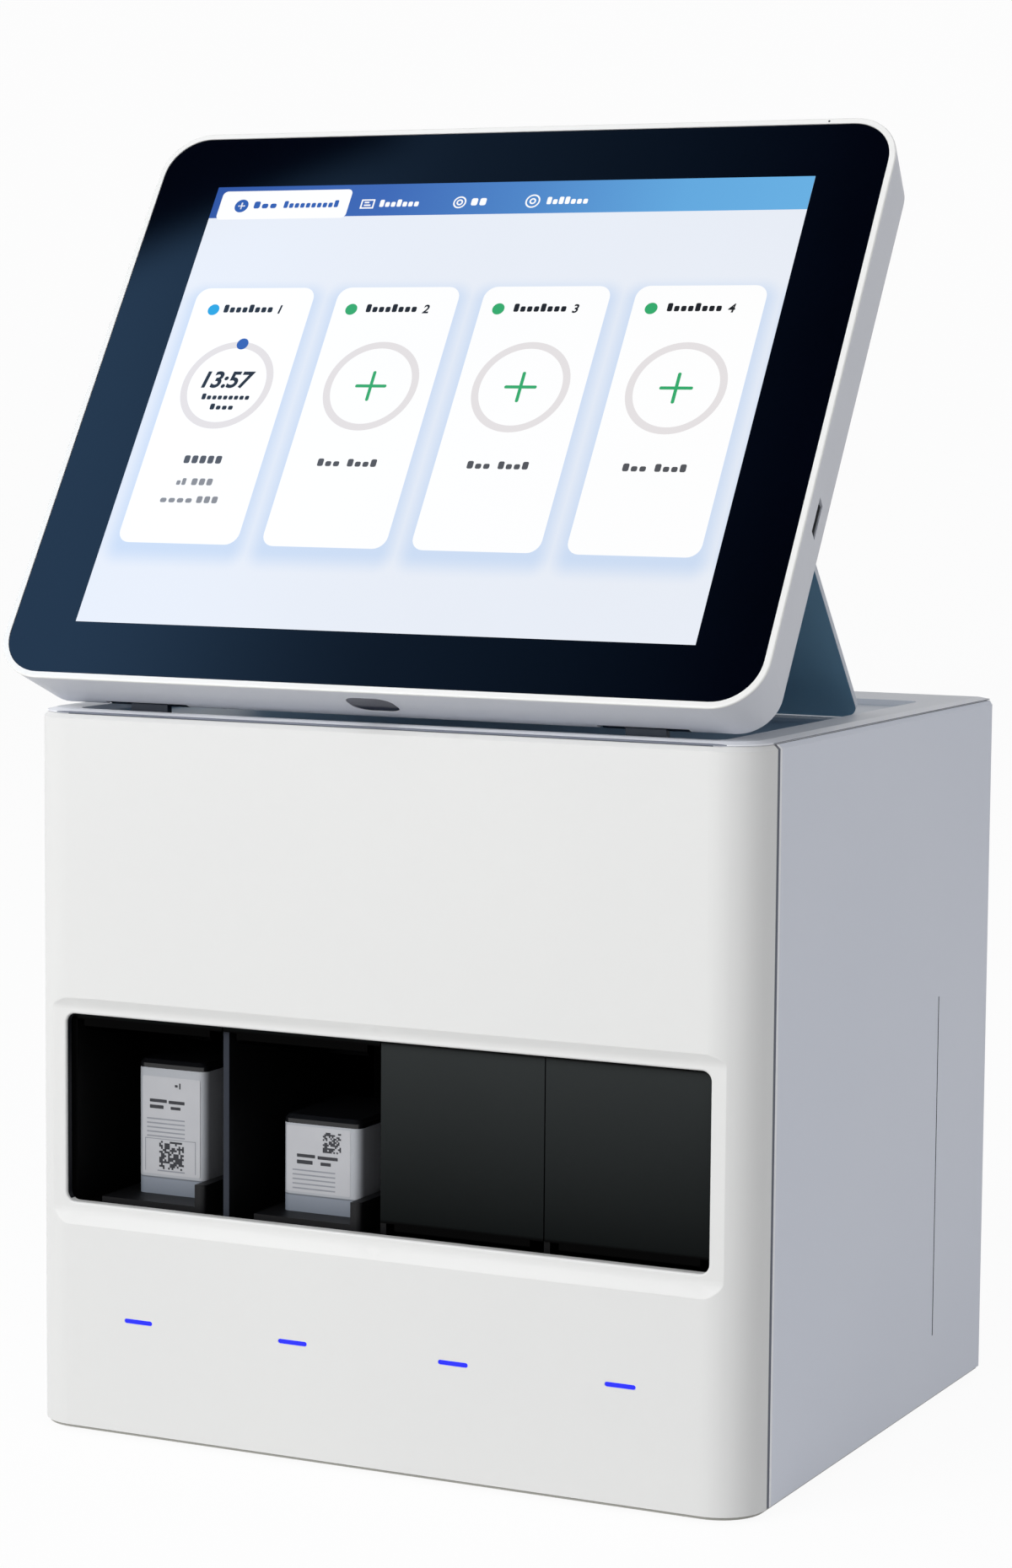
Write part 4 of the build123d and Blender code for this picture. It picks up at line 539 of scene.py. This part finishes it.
# Picture on the display: the lit layer of the panel, shown on the glass.
# Plain cards, rings, blocks and numbers in the layout of a four-bay unit.
def lit(name, colour, strength=1.0):
    """A glowing colour under gloss, with the faint unevenness of a backlight."""
    material = finish(name, "#050505", "#060606", 60, 5.0, 0.0002, 0.08, 0.02)
    tree = material.node_tree
    surface = tree.nodes["Principled BSDF"]
    place = add(tree, "ShaderNodeTexCoord").outputs["Object"]
    patches, faintest = 12.0, 0.97
    broad = add(tree, "ShaderNodeTexNoise", Vector=place, Scale=patches).outputs["Fac"]
    dim = [c * faintest for c in linear(colour)[:3]] + [1.0]
    tone = add(tree, "ShaderNodeMix", {"data_type": "RGBA"}, i0=broad, i6=linear(colour), i7=dim)
    tree.links.new(tone.outputs[2], surface.inputs["Emission Color"])
    surface.inputs["Emission Strength"].default_value = strength
    return material


active_low = 16.1
ground_out, card_out, mark_out, top_out = -0.26, -0.22, -0.18, -0.14
picture = panel_face @ Matrix.Translation((0, active_low, 0))
screen_half, screen_high, bar_low = 120.0, 187.5, 173.5
card_first, card_pitch, card_w, card_low, card_high, card_corner = -89.2, 59.27, 49.5, 33.0, 142.0, 5.0
card_middle, card_h = (card_low + card_high) / 2, card_high - card_low
shadow_drop, shadow_inset, shadow_start, shadow_end = 3.5, 3, 1 * mm, 11 * mm

ground_lit = lit("lit_pale_blue", "#edf2fb", 0.97)
tree = ground_lit.node_tree
surface = tree.nodes["Principled BSDF"]
plain = surface.inputs["Emission Color"].links[0].from_socket
where = add(tree, "ShaderNodeTexCoord").outputs["Object"]
shadow_centre = picture @ Vector((card_first, card_middle - shadow_drop, 0))
centred = add(tree, "ShaderNodeVectorMath", {"operation": "SUBTRACT"}, i0=where, i1=shadow_centre)
turned = add(
    tree, "ShaderNodeVectorRotate", {"rotation_type": "X_AXIS"},
    Vector=centred.outputs[0], Angle=lean - pi / 2,
)
along = add(tree, "ShaderNodeSeparateXYZ", Vector=turned.outputs[0])
pitch = card_pitch * mm
shifted = add(tree, "ShaderNodeMath", {"operation": "ADD"}, i0=along.outputs["X"], i1=pitch / 2)
folded = add(tree, "ShaderNodeMath", {"operation": "FLOORED_MODULO"}, i0=shifted.outputs[0], i1=pitch)
offset = add(tree, "ShaderNodeMath", {"operation": "SUBTRACT"}, i0=folded.outputs[0], i1=pitch / 2)
beside = add(tree, "ShaderNodeMath", {"operation": "ABSOLUTE"}, i0=offset.outputs[0])
past_x = add(
    tree, "ShaderNodeMath", {"operation": "SUBTRACT"},
    i0=beside.outputs[0], i1=(card_w / 2 - shadow_inset) * mm,
)
above = add(tree, "ShaderNodeMath", {"operation": "ABSOLUTE"}, i0=along.outputs["Y"])
past_y = add(
    tree, "ShaderNodeMath", {"operation": "SUBTRACT"},
    i0=above.outputs[0], i1=(card_h / 2 - shadow_inset) * mm,
)
only_x = add(tree, "ShaderNodeMath", {"operation": "MAXIMUM"}, i0=past_x.outputs[0], i1=0.0)
only_y = add(tree, "ShaderNodeMath", {"operation": "MAXIMUM"}, i0=past_y.outputs[0], i1=0.0)
away = add(tree, "ShaderNodeCombineXYZ", X=only_x.outputs[0], Y=only_y.outputs[0])
gap = add(tree, "ShaderNodeVectorMath", {"operation": "LENGTH"}, i0=away.outputs[0])
soft = add(
    tree, "ShaderNodeMapRange", {"interpolation_type": "SMOOTHSTEP"},
    Value=gap.outputs["Value"], From_Min=shadow_start, From_Max=shadow_end, To_Min=1.0, To_Max=0.0,
)
shaded = add(
    tree, "ShaderNodeMix", {"data_type": "RGBA"}, i0=soft.outputs[0], i6=plain, i7=linear("#cfdff6"),
)
tree.links.new(shaded.outputs[2], surface.inputs["Emission Color"])
square_corner = 0.01
flat(
    "picture_ground", [(-screen_half, 0, screen_half, screen_high, square_corner)],
    raised(picture, ground_out), ground_lit, "display",
)

bar_lit = lit("lit_blue_bar", "#ffffff")
tree = bar_lit.node_tree
surface = tree.nodes["Principled BSDF"]
where = add(tree, "ShaderNodeTexCoord").outputs["Object"]
along = add(tree, "ShaderNodeSeparateXYZ", Vector=where).outputs["X"]
share = add(tree, "ShaderNodeMapRange", Value=along, From_Min=-screen_half * mm, From_Max=screen_half * mm)
blues = ramped(
    tree, share.outputs["Result"],
    [(0.0, "#2f55a4"), (0.3, "#3c66b4"), (0.55, "#4f86c8"), (0.8, "#63a8de"), (1.0, "#69b0e3")],
)
tree.links.new(blues, surface.inputs["Emission Color"])
flat(
    "picture_bar", [(-screen_half, bar_low, screen_half, screen_high, square_corner)],
    raised(picture, card_out), bar_lit, "display",
)

card_lit = lit("lit_white", "#ffffff")
row_span = 3 * card_pitch
row_centre = card_first + row_span / 2
grown(
    plates, "picture_cards",
    {"Columns": 4, "Rows": 1, "Breadth": row_span, "Width": card_w, "Height": card_h,
     "Corner": card_corner, "Centre": (row_centre, card_middle, card_out), "Paint": card_lit},
    picture, "display",
)
over, above_all = raised(picture, mark_out), raised(picture, top_out)
flat("picture_tab", [(-117.0, 172.8, -62.0, 185.5, 2.0)], over, card_lit, "display")

rings, given = new_tree(
    "row_of_rings", Count="Int", Breadth="Float", Outer="Float", Inner="Float",
    Centre="Vector", Paint="Material",
)
points = add(
    rings, "GeometryNodeMeshGrid", Size_X=given["Breadth"], Size_Y=0.0,
    Vertices_X=given["Count"], Vertices_Y=1,
)
moved = add(rings, "GeometryNodeTransform", Geometry=points.outputs[0], Translation=given["Centre"])
outer = add(rings, "GeometryNodeCurvePrimitiveCircle", Resolution=64, Radius=given["Outer"])
inner = add(rings, "GeometryNodeCurvePrimitiveCircle", Resolution=64, Radius=given["Inner"])
both = add(rings, "GeometryNodeJoinGeometry")
rings.links.new(outer.outputs[0], both.inputs[0])
rings.links.new(inner.outputs[0], both.inputs[0])
filled = add(rings, "GeometryNodeFillCurve", Curve=both.outputs[0])
laid = add(rings, "GeometryNodeInstanceOnPoints", Points=moved.outputs[0], Instance=filled.outputs[0])
end_tree(rings, laid.outputs[0], given["Paint"])
ring_y, ring_outer, ring_inner = 99.8, 18.7, 15.9
ring_grey = lit("lit_ring_grey", "#e6e2e3")
grown(
    rings, "picture_rings",
    {"Count": 4, "Breadth": row_span, "Outer": ring_outer, "Inner": ring_inner,
     "Centre": (row_centre, ring_y, mark_out), "Paint": ring_grey},
    picture, "display",
)

plus_green = lit("lit_green", "#35ab6c")
plus_long, plus_thin, plus_corner = 12.6, 1.3, 0.6
for way, w, h in (("across", plus_long, plus_thin), ("up", plus_thin, plus_long)):
    grown(
        plates, f"picture_plus_{way}",
        {"Columns": 3, "Rows": 1, "Breadth": 2 * card_pitch, "Width": w, "Height": h,
         "Corner": plus_corner, "Centre": (row_centre + card_pitch / 2, ring_y, mark_out),
         "Paint": plus_green},
        picture, "display",
    )


def word(left, right, y, rises, h=2.1):
    """A row of small blocks that stands for a word: one for each figure in rises, 1 for a tall one."""
    step = (right - left) / len(rises)
    tall, round_share, fill = 1.5, 0.3, 0.74
    blocks = []
    for k, rise in enumerate(rises):
        x = left + k * step
        top = y - h / 2 + h * (tall if rise == "1" else 1.0)
        blocks.append((x, y - h / 2, x + step * fill, top, step * fill * round_share))
    return blocks


dot_y, dot_r, dot_side, cyan_side = 132.5, 2.4, 17.5, 15.8
name_y, name_h, name_left, name_right = 132.4, 2.3, 11.4, 9.8
test_y, test_left, test_gap, test_right = 67.2, 12, 2.4, 12.4
centres = [card_first + k * card_pitch for k in range(4)]
green_dots = [disc(x - dot_side, dot_y, dot_r) for x in centres[1:]]
flat("picture_dots_green", green_dots, over, plus_green, "display")
cyan = lit("lit_cyan", "#25a5e2")
flat("picture_dot_cyan", [disc(centres[0] - cyan_side, dot_y, dot_r)], over, cyan, "display")
deep_blue = lit("lit_deep_blue", "#315fb2")
flat(
    "picture_marks_blue",
    [disc(-88.0, 117.5, dot_r), disc(-107.5, 178.8, 2.9)]
    + word(-102.2, -91.6, 178.6, "100") + word(-89.4, -65.8, 178.6, "1000000001"),
    above_all, deep_blue, "display",
)
ink_lit = lit("lit_ink", "#202124")
name_blocks = []
for x in centres:
    name_blocks += word(x - name_left, x + name_right, name_y, "10001000", name_h)
flat("picture_names", name_blocks, over, ink_lit, "display")
flat(
    "picture_captions", word(-98.0, -77.6, 94.4, "100000000", 1.7) + word(-93.2, -83.0, 90.1, "1000", 1.7),
    over, ink_lit, "display",
)
grey_ink_lit = lit("lit_dark_grey", "#55565a")
test_blocks = word(-96.9, -80.5, 67.5, "11111", 2.2)
for x in centres[1:]:
    test_blocks += word(x - test_left, x - test_gap, test_y, "100")
    test_blocks += word(x, x + test_right, test_y, "1001")
flat("picture_words", test_blocks, over, grey_ink_lit, "display")
pale_ink_lit = lit("lit_mid_grey", "#8d8e92")
flat(
    "picture_notes",
    word(-97.0, -92.6, 58.2, "01", 1.9) + word(-90.8, -81.4, 58.2, "111", 1.9)
    + word(-101.4, -87.4, 50.8, "0000", 1.9) + word(-86.4, -77.0, 50.8, "111", 1.9),
    over, pale_ink_lit, "display",
)
white_marks = [
    (-109.0, 178.5, -106.0, 179.1, 0.1), (-107.8, 177.3, -107.2, 180.3, 0.1),
    *word(-49.1, -32.4, 178.4, "1001000"), *word(-11.6, -4.7, 178.4, "11"),
    *word(18.8, 35.6, 178.4, "1011000"),
    (-57.0, 180.2, -51.4, 180.8, 0.2), (-57.0, 176.7, -51.4, 177.3, 0.2), (-57.0, 176.7, -56.4, 180.8, 0.2),
    (-52.0, 176.7, -51.4, 180.8, 0.2), (-55.6, 177.9, -52.8, 178.5, 0.2), (-55.6, 179.1, -53.6, 179.7, 0.2),
]
flat("picture_marks_white", white_marks, above_all, card_lit, "display")
icon_y, icon_core, icon_line = 178.8, 1.3, 0.6
for name, x, icon_rim in (("picture_icon_round", -16.3, 2.6), ("picture_icon_wheel", 13.1, 2.9)):
    for part, r in (("rim", icon_rim), ("core", icon_core)):
        grown(
            rings, f"{name}_{part}",
            {"Count": 1, "Breadth": 0.0, "Outer": r, "Inner": r - icon_line,
             "Centre": (x, icon_y, top_out), "Paint": card_lit},
            picture, "display",
        )


def digits(name, figures, left, low, height, slant, material, place):
    """Numbers set in a plain face, made a mesh at a height in millimetres."""
    curve = bpy.data.curves.new(name, "FONT")
    curve.body = figures
    curve.size = 1.0
    curve.shear = slant
    curve.offset = 0.03
    curve.resolution_u = 6
    holder = bpy.data.objects.new(name, curve)
    bpy.context.collection.objects.link(holder)
    mesh = bpy.data.meshes.new_from_object(holder.evaluated_get(bpy.context.evaluated_depsgraph_get()))
    bpy.data.objects.remove(holder)
    xs = [v.co.x for v in mesh.vertices]
    ys = [v.co.y for v in mesh.vertices]
    scale = height / (max(ys) - min(ys))
    mesh.transform(Matrix.Scale(scale, 4) @ Matrix.Translation((-min(xs), -min(ys), 0)))
    mesh.transform(place @ Matrix.Translation((left, low, 0)))
    mesh.materials.clear()
    mesh.materials.append(material)
    piece = bpy.data.objects.new(name, mesh)
    bpy.context.collection.objects.link(piece)
    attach(piece, "display")


time_x, time_y, time_h, time_slant = -99.7, 98.4, 7.3, 0.18
digits("picture_time", "13:57", time_x, time_y, time_h, time_slant, ink_lit, over)
number_side, number_y, number_h, number_slant = 11.6, 130.7, 3.7, 0.15
for number, x in enumerate(centres, 1):
    digits(
        f"picture_number_{number}", str(number),
        x + number_side, number_y, number_h, number_slant, ink_lit, over,
    )

# Stand: one flat plate on pins behind the display, whose foot rests in the pan.
# Sheet aluminium in blue-grey paint. Its side edges are painted lighter than its faces, as a painted
# highlight.
stand_paint = finish("blue_grey_paint", "#cfd4dc", "#c8cdd6", 60, 0.9, 0.02, 0.45)
# Painted highlight: faces that look sideways, the side edges, stay light.
tinted(stand_paint, sideways(stand_paint), [(0.0, "#94c3db"), (0.6, "#ffffff")], "CONSTANT")
dress(stand_paint, "stand_plate")

# Floor and wall: a plain white paper sweep that runs up behind the unit.
# It shows white to the camera and in gloss, and sends back less light than it shows.
sweep_half, wall_y, wall_high, floor_front, bend_r, bend_steps = 6.0, 5.0, 6.0, -6.0, 1.5, 12
profile = [(floor_front, 0.0)]
for k in range(bend_steps + 1):
    turn = k / bend_steps * pi / 2
    profile.append((wall_y - bend_r + bend_r * sin(turn), bend_r - bend_r * cos(turn)))
profile.append((wall_y, wall_high))
sweep_mesh = bpy.data.meshes.new("studio_sweep")
sweep_form = bmesh.new()
rows = [[sweep_form.verts.new((x, y, z)) for y, z in profile] for x in (-sweep_half, sweep_half)]
for k in range(len(profile) - 1):
    sweep_form.faces.new((rows[0][k], rows[1][k], rows[1][k + 1], rows[0][k + 1])).smooth = True
sweep_form.to_mesh(sweep_mesh)
sweep_form.free()
sweep = bpy.data.objects.new("studio_sweep", sweep_mesh)
bpy.context.collection.objects.link(sweep)
paper = bpy.data.materials.new("studio_paper")
paper.use_nodes = True
tree = paper.node_tree
tree.nodes.remove(tree.nodes["Principled BSDF"])
rays = add(tree, "ShaderNodeLightPath")
direct = add(
    tree, "ShaderNodeMath", {"operation": "MAXIMUM"},
    i0=rays.outputs["Is Camera Ray"], i1=rays.outputs["Is Glossy Ray"],
)
seen = add(
    tree, "ShaderNodeMath", {"operation": "MAXIMUM"},
    i0=direct.outputs[0], i1=rays.outputs["Is Transmission Ray"],
)
plain_white = 0.94
share = add(tree, "ShaderNodeMath", {"operation": "MULTIPLY"}, i0=seen.outputs[0], i1=plain_white)
tone = add(
    tree, "ShaderNodeMix", {"data_type": "RGBA"},
    i0=seen.outputs[0], i6=linear("#cccccc"), i7=linear("#ffffff"),
)
matt = add(tree, "ShaderNodeBsdfDiffuse", Color=tone.outputs[2])
white = add(tree, "ShaderNodeEmission", Color=linear("#ffffff"), Strength=1.0)
mix = add(tree, "ShaderNodeMixShader", i0=share.outputs[0], i1=matt.outputs[0], i2=white.outputs[0])
tree.links.new(mix.outputs[0], tree.nodes["Material Output"].inputs["Surface"])
sweep_mesh.materials.append(paper)

# Room: even and pale at eye height, with a darker ceiling that polished faces show almost black.
# Above the paper it is plain white.
world = bpy.data.worlds.new("pale_room")
bpy.context.scene.world = world
world.use_nodes = True
tree = world.node_tree
direction = add(tree, "ShaderNodeTexCoord").outputs["Generated"]
height = add(tree, "ShaderNodeSeparateXYZ", Vector=direction).outputs["Z"]
ceiling_start, ceiling_full = 0.35, 0.68
rise = add(
    tree, "ShaderNodeMapRange", {"interpolation_type": "SMOOTHSTEP"},
    Value=height, From_Min=ceiling_start, From_Max=ceiling_full,
)
ceiling = add(
    tree, "ShaderNodeMix", {"data_type": "RGBA"},
    i0=add(tree, "ShaderNodeLightPath").outputs["Is Glossy Ray"], i6=linear("#a0a2a6"), i7=linear("#202226"),
)
room = add(
    tree, "ShaderNodeMix", {"data_type": "RGBA"},
    i0=rise.outputs["Result"], i6=linear("#fcfcff"), i7=ceiling.outputs[2],
)
room_level = 0.92
seen = add(tree, "ShaderNodeLightPath").outputs["Is Camera Ray"]
shown = add(
    tree, "ShaderNodeMix", {"data_type": "RGBA"}, i0=seen, i6=room.outputs[2], i7=linear("#ffffff"),
)
strength = add(
    tree, "ShaderNodeMath", {"operation": "MULTIPLY_ADD"}, i0=seen, i1=1 - room_level, i2=room_level,
)
tree.links.new(shown.outputs[2], tree.nodes["Background"].inputs["Color"])
tree.links.new(strength.outputs[0], tree.nodes["Background"].inputs["Strength"])

# Key lamp: one large square softbox at the front left, above the unit.
# Its light is neutral and soft, so the shadows have no edge.
key_place, key_aim = Vector((-1.1, -2.4, 1.4)), Vector((0, 0, 0.1))
key = bpy.data.lights.new("key_softbox", "AREA")
key.shape = "RECTANGLE"
key.size = 1.6
key.size_y = 1.6
key.energy = 44
key_holder = bpy.data.objects.new("key_softbox", key)
key_holder.location = key_place
key_holder.rotation_euler = (key_aim - key_place).to_track_quat("-Z", "Y").to_euler()
bpy.context.collection.objects.link(key_holder)

# Gloss card: a dim blue panel over the front left, which only polished faces show.
# It gives the glass of the display its soft navy bands: one faint, one strong, with a clear corner.
glare_left, glare_right, glare_near, glare_far, glare_z = -1.7, 0.2, -1.5, -0.1, 1.6
gloss_mesh = bpy.data.meshes.new("gloss_card")
gloss_mesh.from_pydata(
    [(glare_left, glare_near, glare_z), (glare_right, glare_near, glare_z),
     (glare_right, glare_far, glare_z), (glare_left, glare_far, glare_z)],
    [], [(3, 2, 1, 0)],
)
gloss_card = bpy.data.objects.new("gloss_card", gloss_mesh)
bpy.context.collection.objects.link(gloss_card)
blue_card = bpy.data.materials.new("dim_blue_card")
blue_card.use_nodes = True
tree = blue_card.node_tree
tree.nodes.remove(tree.nodes["Principled BSDF"])
where = add(tree, "ShaderNodeSeparateXYZ", Vector=add(tree, "ShaderNodeTexCoord").outputs["Object"])
band_slant, corner_slant = -0.4, -0.35
across_card = add(
    tree, "ShaderNodeMath", {"operation": "MULTIPLY_ADD"},
    i0=where.outputs["Y"], i1=band_slant, i2=where.outputs["X"],
)
faint = add(
    tree, "ShaderNodeMapRange",
    Value=across_card.outputs[0], From_Min=-0.48, From_Max=-0.14, To_Min=1.2, To_Max=0.0,
)
strong = add(
    tree, "ShaderNodeMapRange", {"interpolation_type": "SMOOTHSTEP"},
    Value=across_card.outputs[0], From_Min=-0.76, From_Max=-0.44, To_Min=3.2, To_Max=0.0,
)
fade = add(tree, "ShaderNodeMath", {"operation": "ADD"}, i0=faint.outputs[0], i1=strong.outputs[0])
corner_x = add(
    tree, "ShaderNodeMapRange", {"interpolation_type": "SMOOTHSTEP"},
    Value=where.outputs["X"], From_Min=-0.7, From_Max=-0.64, To_Min=1.0, To_Max=0.0,
)
slanted = add(
    tree, "ShaderNodeMath", {"operation": "MULTIPLY_ADD"},
    i0=where.outputs["X"], i1=corner_slant, i2=where.outputs["Y"],
)
corner_y = add(
    tree, "ShaderNodeMapRange", {"interpolation_type": "SMOOTHSTEP"},
    Value=slanted.outputs[0], From_Min=-0.215, From_Max=-0.175,
)
clear_corner = add(
    tree, "ShaderNodeMath", {"operation": "MULTIPLY"}, i0=corner_x.outputs[0], i1=corner_y.outputs[0],
)
kept = add(tree, "ShaderNodeMath", {"operation": "SUBTRACT"}, i0=1.0, i1=clear_corner.outputs[0])
level = add(tree, "ShaderNodeMath", {"operation": "MULTIPLY"}, i0=fade.outputs[0], i1=kept.outputs[0])
glare = add(tree, "ShaderNodeEmission", Color=linear("#5378a0"), Strength=level.outputs[0])
tree.links.new(glare.outputs[0], tree.nodes["Material Output"].inputs["Surface"])
gloss_mesh.materials.append(blue_card)
gloss_card.visible_camera = False
gloss_card.visible_diffuse = False
gloss_card.visible_shadow = False
gloss_card.visible_transmission = False

# Camera: the angle and the distance that the housing's edges give in the photograph.
# It looks down a little from the front right.
cover_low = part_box("front_cover")[0].z
focal_px, frame_px = 4532.4, 1860
eye_x, eye_back, eye_up = 0.6146, 1.1568, 0.3743
turn, dip, roll = radians(25.998), radians(5.786), radians(0.465)
ahead = Vector((-sin(turn) * cos(dip), cos(turn) * cos(dip), -sin(dip)))
level_way = Vector((cos(turn), sin(turn), 0))
upright = level_way.cross(ahead)
right = level_way * cos(roll) + upright * sin(roll)
up = upright * cos(roll) - level_way * sin(roll)
lens = bpy.data.cameras.new("photo_camera")
lens.sensor_width = 36.0
lens.lens = focal_px / frame_px * lens.sensor_width
eye = bpy.data.objects.new("photo_camera", lens)
eye_place = Matrix.Translation((eye_x, cover_front - eye_back, cover_low + eye_up))
eye.matrix_world = eye_place @ Matrix((right, up, -ahead)).transposed().to_4x4()
bpy.context.collection.objects.link(eye)
bpy.context.scene.camera = eye
bpy.context.scene.view_settings.view_transform = "Standard"
